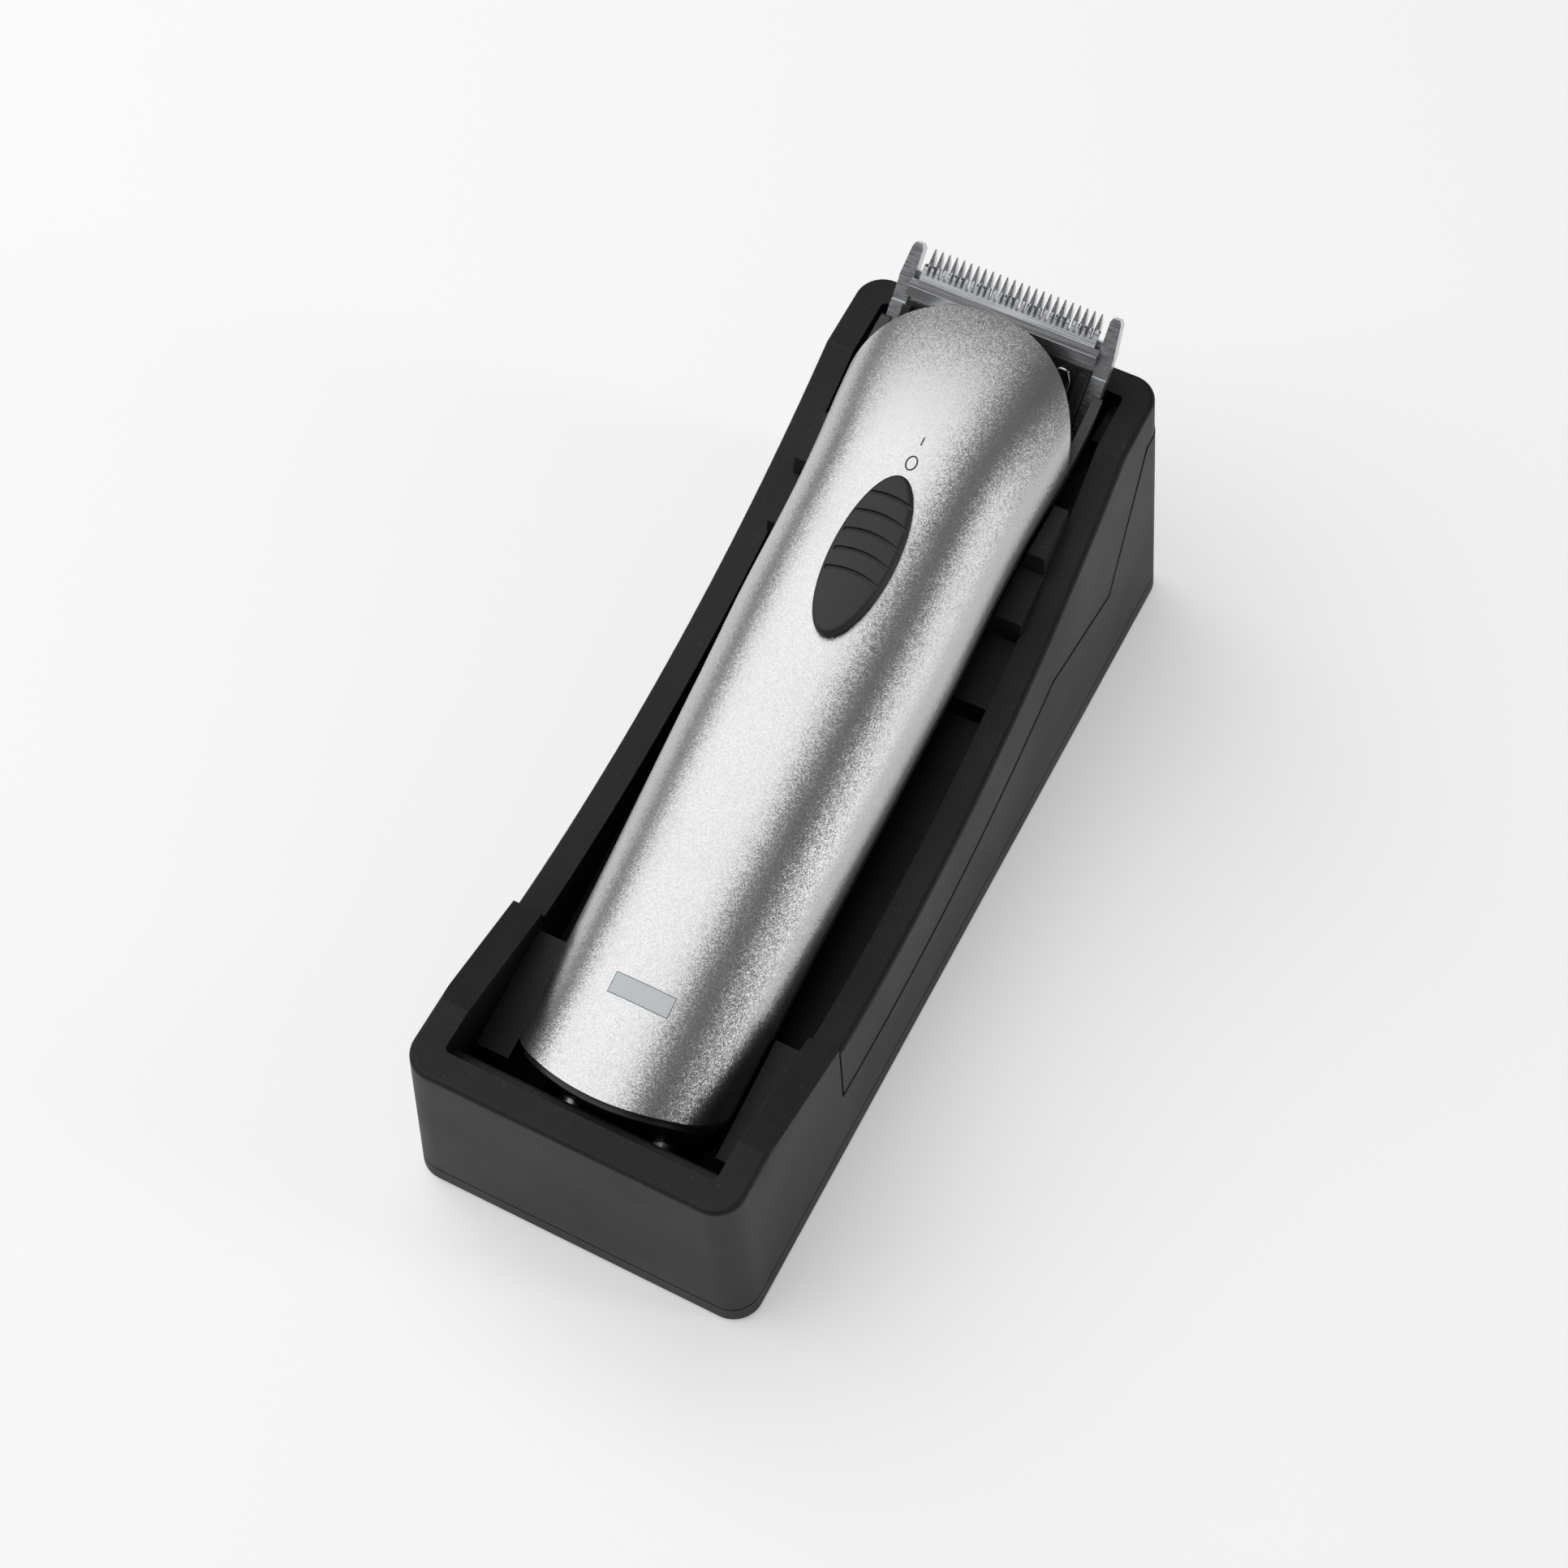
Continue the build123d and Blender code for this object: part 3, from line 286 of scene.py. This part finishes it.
def build_painted_highlight_group():
    """Painted edge highlight: a mask that is high on sharp edges, broken up by noise;
    materials lighten their colour with it, as if glossy edges caught the light.
    """
    group, start, end = new_group(
        "painted_edge_highlight",
        [("Radius", "NodeSocketFloat", 0.0006), ("Amount", "NodeSocketFloat", 3.0),
         ("Speckle", "NodeSocketFloat", 1800.0)],
        [("Mask", "NodeSocketFloat")])
    facing = vector_node(group, "DOT_PRODUCT", softened_edges(group, start.outputs["Radius"]),
                         mesh_normal(group), result="Value")
    turned = math_node(group, "SUBTRACT", 1.0, facing)
    strong = math_node(group, "MULTIPLY", turned, start.outputs["Amount"], clamp=True)
    speckle = noise(group, object_place(group), start.outputs["Speckle"], 2.0, 0.6)
    broken = ranged(group, speckle, (0.42, 0.68))
    feed(group, end.inputs["Mask"], math_node(group, "MULTIPLY", strong, broken))
    return group


def build_dust_group():
    """Light dust and handling marks: sparse specks and soft smears."""
    group, start, end = new_group(
        "dust",
        [("Speck Scale", "NodeSocketFloat", 900.0), ("Amount", "NodeSocketFloat", 0.3)],
        [("Mask", "NodeSocketFloat")])
    place = object_place(group)
    specks = ranged(group, noise(group, place, start.outputs["Speck Scale"], 1.0, 0.5),
                    (0.66, 0.74))
    smears = ranged(group, noise(group, place, 24.0, 3.0, 0.6), (0.45, 0.75), (0.0, 0.5))
    total = math_node(group, "ADD", specks, smears)
    feed(group, end.inputs["Mask"],
         math_node(group, "MULTIPLY", total, start.outputs["Amount"], clamp=True))
    return group


def build_flake_group():
    """Metal flakes in paint: each one is tilted a little and differs in brightness."""
    group, start, end = new_group(
        "paint_flakes",
        [("Scale", "NodeSocketFloat", 6000.0), ("Tilt", "NodeSocketFloat", 0.12),
         ("Base Normal", "NodeSocketVector", (0.0, 0.0, 1.0))],
        [("Sparkle", "NodeSocketFloat"), ("Normal", "NodeSocketVector")])
    cells = add_node(group, "ShaderNodeTexVoronoi",
                     {"Vector": object_place(group), "Scale": start.outputs["Scale"]},
                     feature="F1").outputs["Color"]
    centred = vector_node(group, "SUBTRACT", cells, (0.5, 0.5, 0.5))
    tilted = vector_node(group, "SCALE", centred, Scale=start.outputs["Tilt"])
    summed = vector_node(group, "ADD", start.outputs["Base Normal"], tilted)
    channels = add_node(group, "ShaderNodeSeparateColor", {"Color": cells})
    feed(group, end.inputs["Sparkle"], channels.outputs["Green"])
    feed(group, end.inputs["Normal"], vector_node(group, "NORMALIZE", summed))
    return group


def build_brush_group():
    """Grinding lines along X, in the metal's relief and tone."""
    group, start, end = new_group(
        "ground_lines",
        [("Stretch", "NodeSocketVector", CUTTER_LINES), ("Relief", "NodeSocketFloat", 0.15)],
        [("Lines", "NodeSocketFloat"), ("Normal", "NodeSocketVector")])
    stretched = vector_node(group, "MULTIPLY", object_place(group), start.outputs["Stretch"])
    lines = noise(group, stretched, 1.0, 3.0, 0.65)
    rounded = softened_edges(group, 0.00008)
    feed(group, end.inputs["Lines"], lines)
    feed(group, end.inputs["Normal"],
         bumped(group, lines, start.outputs["Relief"], 0.00005, rounded))
    return group


def build_form_group():
    """The body's own smooth curve: the normal of its rounded section, from its sizes."""
    group, start, end = new_group(
        "body_form",
        [("Tail Half Width", "NodeSocketFloat", TAIL_HALF_WIDTH),
         ("Height", "NodeSocketFloat", BODY_HEIGHT),
         ("Power", "NodeSocketFloat", SECTION_POWER)],
        [("Normal", "NodeSocketVector")])
    local = add_node(group, "ShaderNodeMapping",
                     {"Vector": object_place(group), "Location": AXIS_START,
                      "Rotation": (AXIS_SLOPE, 0.0, 0.0)}, vector_type="TEXTURE")
    axes = add_node(group, "ShaderNodeSeparateXYZ", {"Vector": local.outputs["Vector"]})
    x, s, n = axes.outputs
    power = start.outputs["Power"]

    def gain(span, amount):
        return ranged(group, s, span, (0.0, amount), interpolation_type="SMOOTHSTEP")

    half = math_node(group, "ADD", start.outputs["Tail Half Width"],
                     gain(WAIST_SPAN, WAIST_GAIN))
    half = math_node(group, "ADD", half, gain(FLARE_SPAN, FLARE_GAIN))
    past = math_node(group, "MAXIMUM", math_node(group, "SUBTRACT", s, NOSE_START), 0.0)
    upper = math_node(group, "GREATER_THAN", n, 0.0)
    bend = math_node(group, "MULTIPLY", math_node(group, "DIVIDE", past, NOSE_RADIUS), upper)
    drop = math_node(group, "MULTIPLY", math_node(group, "MULTIPLY", past, bend), 0.5)
    height = math_node(group, "SUBTRACT", start.outputs["Height"], drop)
    less = math_node(group, "SUBTRACT", power, 1.0)

    def slope(value, share, size):
        steep = math_node(group, "DIVIDE", math_node(group, "POWER", share, less), size)
        return math_node(group, "MULTIPLY", steep, math_node(group, "SIGN", value))

    aside = math_node(group, "DIVIDE", math_node(group, "ABSOLUTE", x), half)
    rise = math_node(group, "DIVIDE", math_node(group, "ABSOLUTE", n), height)
    tall = math_node(group, "POWER", rise, power)
    along = math_node(group, "DIVIDE", math_node(group, "MULTIPLY", tall, bend), height)
    joined = add_node(group, "ShaderNodeCombineXYZ",
                      {0: slope(x, aside, half), 1: along, 2: slope(n, rise, height)})
    turned = add_node(group, "ShaderNodeMapping",
                      {"Vector": joined.outputs["Vector"],
                       "Rotation": (AXIS_SLOPE, 0.0, 0.0)}, vector_type="NORMAL")
    world = add_node(group, "ShaderNodeVectorTransform", {"Vector": turned.outputs["Vector"]},
                     vector_type="NORMAL", convert_from="OBJECT",
                     convert_to="WORLD").outputs["Vector"]
    facing = mesh_normal(group)
    match = vector_node(group, "DOT_PRODUCT", world, facing, result="Value")
    chosen = mix_node(group, "VECTOR", ranged(group, match, FORM_MATCH), facing, world)
    feed(group, end.inputs["Normal"], vector_node(group, "NORMALIZE", chosen))
    return group


GROUP_BUILDERS = {
    "body_form": build_form_group,
    "moulded_grain": build_grain_group,
    "painted_edge_highlight": build_painted_highlight_group,
    "dust": build_dust_group,
    "paint_flakes": build_flake_group,
    "ground_lines": build_brush_group,
}


def effect(tree, name, **values):
    """Place a shared effect in a material, with this material's own values."""
    group = bpy.data.node_groups.get(name) or GROUP_BUILDERS[name]()
    node = tree.nodes.new("ShaderNodeGroup")
    node.node_tree = group
    for key, value in values.items():
        feed(tree, node.inputs[key.replace("_", " ")], value)
    return node


# ------------------------------------------------------------------ materials
def start_material(name, **constants):
    """New material with its constants on the Principled shader; material, tree, shader."""
    material = bpy.data.materials.new(name)
    material.use_nodes = True
    tree = material.node_tree
    shader = tree.nodes["Principled BSDF"]
    for key, value in constants.items():
        shader.inputs[key.replace("_", " ")].default_value = value
    return material, tree, shader


def shade(colour, factor):
    """Plain colour made lighter or darker."""
    return tuple(min(1.0, channel * factor) for channel in colour[:3])


def opaque(colour):
    """Plain colour as red, green, blue and a full alpha."""
    return (*colour[:3], 1.0)


def mixed(tree, factor, first, second):
    """Colour mixed from one to another, each a socket or a plain colour."""
    ends = [value if isinstance(value, bpy.types.NodeSocket) else opaque(value)
            for value in (first, second)]
    return mix_node(tree, "RGBA", factor, *ends)


def dress(tree, shader, colour, roughness, normal):
    """Feed a Principled shader's colour, roughness and normal."""
    feed(tree, shader.inputs["Base Color"], colour)
    feed(tree, shader.inputs["Roughness"], roughness)
    feed(tree, shader.inputs["Normal"], normal)


def moulded_plastic(name, colour, roughness, relief, edge_shine, dusty=0.05, **constants):
    """Moulded plastic: grain, slow tone, a painted highlight on sharp edges and a little
    dust.
    """
    sizes = bpy.context.scene.trimmer_sizes
    material, tree, shader = start_material(name, **constants)
    grain = effect(tree, "moulded_grain", Scale=1.0 / sizes.grain, Relief=relief,
                   Edge_Radius=sizes.edge)
    glint = effect(tree, "painted_edge_highlight", Radius=0.0007, Amount=edge_shine, Speckle=2600.0)
    dust = effect(tree, "dust", Speck_Scale=1400.0, Amount=dusty)
    tone = grain.outputs["Tone"]
    toned = mixed(tree, ranged(tree, tone, NOISE_SPAN), shade(colour, 0.88),
                  shade(colour, 1.14))
    # Painted highlight: the colour is made much lighter on sharp edges, standing in for light
    # caught by glossy edges.
    lit_edges = mixed(tree, glint.outputs["Mask"], toned, shade(colour, 3.2))
    dusted = mixed(tree, dust.outputs["Mask"], lit_edges, PLASTIC_DUST)
    dress(tree, shader, dusted,
          ranged(tree, tone, NOISE_SPAN, (roughness - 0.05, roughness + 0.06)),
          grain.outputs["Normal"])
    return material


def metallic_paint(name, colour):
    """Satin metallic paint with fine flakes."""
    sizes = bpy.context.scene.trimmer_sizes
    material, tree, shader = start_material(name, Metallic=1.0)
    form = effect(tree, "body_form")
    flakes = effect(tree, "paint_flakes", Scale=1.0 / sizes.flake, Tilt=0.17,
                    Base_Normal=form.outputs["Normal"])
    grain = effect(tree, "moulded_grain", Scale=1500.0, Relief=0.02, Edge_Radius=0.0002)
    dust = effect(tree, "dust", Speck_Scale=1900.0, Amount=0.02)
    sparkled = mixed(tree, flakes.outputs["Sparkle"], shade(colour, 0.86),
                     shade(colour, 1.14))
    dusted = mixed(tree, dust.outputs["Mask"], sparkled, PAINT_DUST)
    dress(tree, shader, dusted,
          ranged(tree, grain.outputs["Tone"], NOISE_SPAN, (0.31, 0.35)),
          flakes.outputs["Normal"])
    return material


def ground_steel(name, colour, roughness, relief, stretch):
    """Ground or brushed steel with lines along its width."""
    material, tree, shader = start_material(name, Metallic=1.0)
    ground = effect(tree, "ground_lines", Stretch=stretch, Relief=relief)
    glint = effect(tree, "painted_edge_highlight", Radius=0.0002, Amount=1.5, Speckle=3000.0)
    dust = effect(tree, "dust", Speck_Scale=1800.0, Amount=0.04)
    lines = ground.outputs["Lines"]
    toned = mixed(tree, ranged(tree, lines, NOISE_SPAN), shade(colour, 0.78),
                  shade(colour, 1.15))
    # Painted highlight: the steel's colour is made lighter on sharp edges.
    lit_edges = mixed(tree, glint.outputs["Mask"], toned, shade(colour, 1.5))
    dusted = mixed(tree, dust.outputs["Mask"], lit_edges, shade(colour, 0.5))
    dress(tree, shader, dusted,
          ranged(tree, lines, NOISE_SPAN, (roughness - 0.07, roughness + 0.09)),
          ground.outputs["Normal"])
    return material


def finish(material, *names):
    """Give CAD nodes a material."""
    for name in names:
        slots = NODES[name].material_slots
        if not slots:
            raise RuntimeError(f"{name} has no material slot")
        for slot in slots:
            slot.material = material


# ------------------------------------------------------------------ operators
class TRIMMER_OT_stand(bpy.types.Operator):
    """Finish the stand's housing, cradle, bottom plate and pin block"""

    bl_idname = "trimmer.finish_stand"
    bl_label = "Stand"

    def execute(self, context):
        colour = context.scene.trimmer_colours.stand
        finish(moulded_plastic("stand_black", colour, roughness=0.56, relief=0.30, edge_shine=5.0,
                               Specular_IOR_Level=0.29),
               "stand_housing", "stand_base_plate")
        # Painted shade: the cradle and the contact block take the stand's plastic made
        # darker, for the shade they sit in under the trimmer.
        finish(moulded_plastic("cradle_shaded_black", shade(colour, 0.80), roughness=0.54,
                               relief=0.28, edge_shine=5.0, Specular_IOR_Level=0.29),
               "cradle_insert", "contact_block")
        return {"FINISHED"}


class TRIMMER_OT_feet(bpy.types.Operator):
    """Finish the four rubber feet"""

    bl_idname = "trimmer.finish_feet"
    bl_label = "Feet"

    def execute(self, context):
        colour = shade(context.scene.trimmer_colours.button, 1.2)
        finish(moulded_plastic("feet_rubber", colour, roughness=0.72, relief=0.20, edge_shine=1.0,
                               dusty=0.25), "stand_feet")
        return {"FINISHED"}


class TRIMMER_OT_cover(bpy.types.Operator):
    """Paint the top cover"""

    bl_idname = "trimmer.finish_cover"
    bl_label = "Cover"

    def execute(self, context):
        finish(metallic_paint("silver_paint", context.scene.trimmer_colours.cover),
               "top_cover")
        return {"FINISHED"}


class TRIMMER_OT_body(bpy.types.Operator):
    """Finish the lower shell, the tail cap and the black parts of the head"""

    bl_idname = "trimmer.finish_body"
    bl_label = "Body"

    def execute(self, context):
        colour = context.scene.trimmer_colours.body
        finish(moulded_plastic("body_black", colour, roughness=0.36, relief=0.10, edge_shine=3.0),
               "lower_housing", "tail_cap", "front_bulkhead", "head_shroud",
               "blade_carrier")
        return {"FINISHED"}


class TRIMMER_OT_button(bpy.types.Operator):
    """Finish the rubber switch button"""

    bl_idname = "trimmer.finish_button"
    bl_label = "Button"

    def execute(self, context):
        colour = context.scene.trimmer_colours.button
        finish(moulded_plastic("button_rubber", colour, roughness=0.55, relief=0.12,
                               edge_shine=1.5), "switch_button")
        return {"FINISHED"}


class TRIMMER_OT_window(bpy.types.Operator):
    """Finish the indicator window and the lamps under it"""

    bl_idname = "trimmer.finish_window"
    bl_label = "Indicator window"

    def execute(self, context):
        colour = context.scene.trimmer_colours.window
        finish(moulded_plastic("window_pale", colour, roughness=0.30, relief=0.02, edge_shine=0.2,
                               dusty=0.03, Subsurface_Weight=0.15, Subsurface_Scale=0.001,
                               Coat_Weight=0.3, Coat_Roughness=0.15),
               "indicator_window")
        finish(moulded_plastic("lamp_clear", LAMP_CLEAR, roughness=0.2, relief=0.02,
                               edge_shine=0.0), "indicator_leds")
        return {"FINISHED"}


class TRIMMER_OT_blades(bpy.types.Operator):
    """Finish the comb and the cutter"""

    bl_idname = "trimmer.finish_blades"
    bl_label = "Blades"

    def execute(self, context):
        colour = context.scene.trimmer_colours.steel
        finish(ground_steel("comb_steel", colour, roughness=0.30, relief=0.30,
                            stretch=COMB_LINES), "comb_blade")
        finish(ground_steel("cutter_steel", colour, roughness=0.24, relief=0.12,
                            stretch=CUTTER_LINES), "moving_cutter")
        return {"FINISHED"}


class TRIMMER_OT_fasteners(bpy.types.Operator):
    """Finish the screws and springs"""

    bl_idname = "trimmer.finish_fasteners"
    bl_label = "Screws and springs"

    def execute(self, context):
        finish(ground_steel("screw_steel", SCREW_STEEL, roughness=0.34, relief=0.10,
                            stretch=TURNED_LINES),
               "base_screws", "tail_screws", "blade_screws")
        finish(ground_steel("spring_steel", SPRING_STEEL, roughness=0.25, relief=0.05,
                            stretch=TURNED_LINES),
               "pin_spring_left", "pin_spring_right", "cutter_springs")
        return {"FINISHED"}


class TRIMMER_OT_contacts(bpy.types.Operator):
    """Finish the charging pins, their contacts and the inlet"""

    bl_idname = "trimmer.finish_contacts"
    bl_label = "Contacts and inlet"

    def execute(self, context):
        finish(ground_steel("contact_gold", CONTACT_GOLD, roughness=0.26, relief=0.08,
                            stretch=PLATED_LINES),
               "contact_pin_left", "contact_pin_right", "charge_contacts", "inlet_pin")
        finish(moulded_plastic("inlet_black", INLET_BLACK, roughness=0.28, relief=0.04,
                               edge_shine=1.0), "power_inlet")
        return {"FINISHED"}


class TRIMMER_OT_drive(bpy.types.Operator):
    """Finish the motor, its cam and the cutter's fork"""

    bl_idname = "trimmer.finish_drive"
    bl_label = "Drive"

    def execute(self, context):
        finish(ground_steel("motor_steel", MOTOR_STEEL, roughness=0.32, relief=0.12,
                            stretch=MOTOR_LINES), "motor_can", "motor_shaft")
        finish(moulded_plastic("drive_white", DRIVE_WHITE, roughness=0.40, relief=0.05,
                               edge_shine=0.1), "eccentric_cam", "cutter_driver")
        finish(moulded_plastic("cap_grey", CAP_GREY, roughness=0.45, relief=0.12, edge_shine=0.5),
               "motor_end_cap")
        return {"FINISHED"}


class TRIMMER_OT_power(bpy.types.Operator):
    """Finish the cell, the boards and the frame that carries them"""

    bl_idname = "trimmer.finish_power"
    bl_label = "Cell, boards and frame"

    def execute(self, context):
        finish(moulded_plastic("board_green", BOARD_GREEN, roughness=0.34, relief=0.05,
                               edge_shine=0.5), "charging_board", "control_board")
        finish(moulded_plastic("cell_wrap", CELL_BLUE, roughness=0.28, relief=0.02, edge_shine=0.3,
                               Coat_Weight=0.3), "battery_cell")
        finish(ground_steel("nickel", TAB_NICKEL, roughness=0.34, relief=0.05,
                            stretch=TURNED_LINES), "battery_tabs")
        finish(moulded_plastic("frame_grey", FRAME_GREY, roughness=0.48, relief=0.15,
                               edge_shine=0.4), "inner_frame", "slide_switch", "switch_carrier")
        return {"FINISHED"}


def on_cover(tree, s, x):
    """Point on the cover's outside over a place on the trimmer's axis, and its normal."""
    start = TRIMMER_FRAME @ Vector((x, s, ABOVE_COVER))
    down = TRIMMER_FRAME.to_3x3() @ Vector((0.0, 0.0, -1.0))
    hit, normal, _, _ = tree.ray_cast(start, down)
    if hit is None:
        raise RuntimeError(f"no cover under the mark at {s:.4f}, {x:.4f}")
    if normal.dot(down) > 0:
        normal = -normal
    return hit, normal


def printed_mark(name, rows, closed, lift):
    """Thin ink film on the cover from rows of (s, x) pairs across the line."""
    cover = BVHTree.FromObject(NODES["top_cover"], bpy.context.evaluated_depsgraph_get())
    vertices = []
    for row in rows:
        places = [on_cover(cover, s, x) for s, x in row]
        vertices += [point + normal * lift for point, normal in places]
        vertices += [point - normal * lift for point, normal in places]
    width = len(rows[0])
    stride = 2 * width
    count = len(rows)
    faces = []
    for i in range(count if closed else count - 1):
        a = i * stride
        b = ((i + 1) % count) * stride
        faces += [(a + j, a + j + 1, b + j + 1, b + j) for j in range(width - 1)]
        faces.append((a, b, b + width, a + width))
        faces.append((b + width - 1, a + width - 1, a + stride - 1, b + stride - 1))
    if not closed:
        for a in (0, (count - 1) * stride):
            faces.append((*range(a, a + width), *range(a + stride - 1, a + width - 1, -1)))
    mesh = bpy.data.meshes.new(name)
    mesh.from_pydata(vertices, [], faces)
    mesh.validate()
    mark = bpy.data.objects.new(name, mesh)
    bpy.context.scene.collection.objects.link(mark)
    return mark


class TRIMMER_OT_marks(bpy.types.Operator):
    """Print the plain on and off marks on the cover, ahead of the switch"""

    bl_idname = "trimmer.add_marks"
    bl_label = "Switch marks"

    def execute(self, context):
        sizes = context.scene.trimmer_sizes
        half = sizes.mark_stroke / 2
        ring = []
        for i in range(RING_STEPS):
            angle = 2 * math.pi * i / RING_STEPS
            ring.append([(OFF_MARK_PLACE + (OFF_MARK_HALF_LENGTH + aside) * math.sin(angle),
                          (OFF_MARK_HALF_WIDTH + aside) * math.cos(angle))
                         for aside in (-half, 0.0, half)])
        bar_half = half * ON_MARK_FULLNESS
        bar = []
        for i in range(BAR_STEPS + 1):
            s = ON_MARK_PLACE + ON_MARK_LENGTH * (i / BAR_STEPS - 0.5)
            bar.append([(s, -bar_half), (s, 0.0), (s, bar_half)])
        ink = moulded_plastic("mark_ink", context.scene.trimmer_colours.mark, roughness=0.5,
                              relief=0.02, edge_shine=0.0, dusty=0.02)
        for mark in (printed_mark("off_mark", ring, True, sizes.mark_lift),
                     printed_mark("on_mark", bar, False, sizes.mark_lift)):
            mark.data.materials.append(ink)
            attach(mark, "trimmer")
        return {"FINISHED"}


def area_light(name, place, aim, size, power):
    """Rectangular soft light aimed at a point."""
    data = bpy.data.lights.new(name, "AREA")
    data.shape = "RECTANGLE"
    data.size, data.size_y = size
    data.energy = power
    light = bpy.data.objects.new(name, data)
    light.location = place
    direction = Vector(aim) - Vector(place)
    light.rotation_euler = direction.to_track_quat("-Z", "Y").to_euler()
    bpy.context.scene.collection.objects.link(light)


def add_camera():
    """Camera above the right front corner, looking down on the stand."""
    a, e = CAMERA_AZIMUTH, CAMERA_ELEVATION
    back = Vector((math.sin(a) * math.cos(e), -math.cos(a) * math.cos(e), math.sin(e)))
    right = Vector((math.cos(a), math.sin(a), 0.0))
    down = (-back).cross(right)
    cr, sr = math.cos(CAMERA_ROLL), math.sin(CAMERA_ROLL)
    rolled_right = cr * right - sr * down
    rolled_down = sr * right + cr * down
    data = bpy.data.cameras.new("camera")
    data.sensor_width = SENSOR_WIDTH
    data.lens = FOCAL_LENGTH
    data.clip_start = CAMERA_NEAR
    camera = bpy.data.objects.new("camera", data)
    turn = Matrix((rolled_right, -rolled_down, back)).transposed()
    place = (CAMERA_TARGET - CAMERA_OFFSET[0] * rolled_right
             - CAMERA_OFFSET[1] * rolled_down + CAMERA_DISTANCE * back)
    camera.matrix_world = Matrix.Translation(place) @ turn.to_4x4()
    bpy.context.scene.collection.objects.link(camera)
    bpy.context.scene.camera = camera


def add_floor(colour):
    """Pale floor with a little glow, which the stand rests on."""
    far = FLOOR_HALF
    mesh = bpy.data.meshes.new("floor")
    mesh.from_pydata([(-far, -far, 0), (far, -far, 0), (far, far, 0), (-far, far, 0)],
                     [], [(0, 1, 2, 3)])
    floor = bpy.data.objects.new("floor", mesh)
    bpy.context.scene.collection.objects.link(floor)
    material = start_material("floor_pale", Roughness=0.9, Specular_IOR_Level=0.1,
                              Base_Color=opaque(colour), Emission_Color=opaque(colour),
                              Emission_Strength=FLOOR_GLOW)[0]
    mesh.materials.append(material)


class TRIMMER_OT_stage(bpy.types.Operator):
    """Set the floor, the soft lights and the camera"""

    bl_idname = "trimmer.set_stage"
    bl_label = "Studio"

    def execute(self, context):
        add_floor(context.scene.trimmer_colours.floor)
        area_light("top_box", *TOP_BOX)
        area_light("right_low_strip", *RIGHT_STRIP)
        world = bpy.data.worlds.new("studio")
        world.use_nodes = True
        background = world.node_tree.nodes["Background"]
        background.inputs["Color"].default_value = (1.0, 1.0, 1.0, 1.0)
        background.inputs["Strength"].default_value = EVEN_LIGHT
        context.scene.world = world
        context.scene.view_settings.view_transform = "Standard"
        add_camera()
        return {"FINISHED"}


PIECE_OPERATORS = (
    TRIMMER_OT_stand, TRIMMER_OT_feet, TRIMMER_OT_cover, TRIMMER_OT_body,
    TRIMMER_OT_button, TRIMMER_OT_window, TRIMMER_OT_blades, TRIMMER_OT_fasteners,
    TRIMMER_OT_contacts, TRIMMER_OT_drive, TRIMMER_OT_power, TRIMMER_OT_marks,
    TRIMMER_OT_stage,
)


class TRIMMER_PT_looks(bpy.types.Panel):
    """The trimmer's colours, sizes and steps"""

    bl_idname = "TRIMMER_PT_looks"
    bl_label = "Beard Trimmer"
    bl_space_type = "VIEW_3D"
    bl_region_type = "UI"
    bl_category = "Trimmer"

    def draw(self, context):
        layout = self.layout
        for group in (context.scene.trimmer_colours, context.scene.trimmer_sizes):
            column = layout.column()
            for key in group.__annotations__:
                column.prop(group, key)
        for operator in PIECE_OPERATORS:
            layout.operator(operator.bl_idname)


CLASSES = (TrimmerColours, TrimmerSizes, *PIECE_OPERATORS, TRIMMER_PT_looks)


def register():
    """Register the classes and their settings."""
    for item in CLASSES:
        bpy.utils.register_class(item)
    bpy.types.Scene.trimmer_colours = bpy.props.PointerProperty(type=TrimmerColours)
    bpy.types.Scene.trimmer_sizes = bpy.props.PointerProperty(type=TrimmerSizes)


def unregister():
    """Remove the settings and the classes."""
    del bpy.types.Scene.trimmer_sizes
    del bpy.types.Scene.trimmer_colours
    for item in reversed(CLASSES):
        bpy.utils.unregister_class(item)


def main():
    """Finish every piece, print the switch marks and set the studio."""
    register()
    bpy.ops.trimmer.finish_stand()
    bpy.ops.trimmer.finish_feet()
    bpy.ops.trimmer.finish_cover()
    bpy.ops.trimmer.finish_body()
    bpy.ops.trimmer.finish_button()
    bpy.ops.trimmer.finish_window()
    bpy.ops.trimmer.finish_blades()
    bpy.ops.trimmer.finish_fasteners()
    bpy.ops.trimmer.finish_contacts()
    bpy.ops.trimmer.finish_drive()
    bpy.ops.trimmer.finish_power()
    bpy.ops.trimmer.add_marks()
    bpy.ops.trimmer.set_stage()


if __name__ == "__main__":
    main()
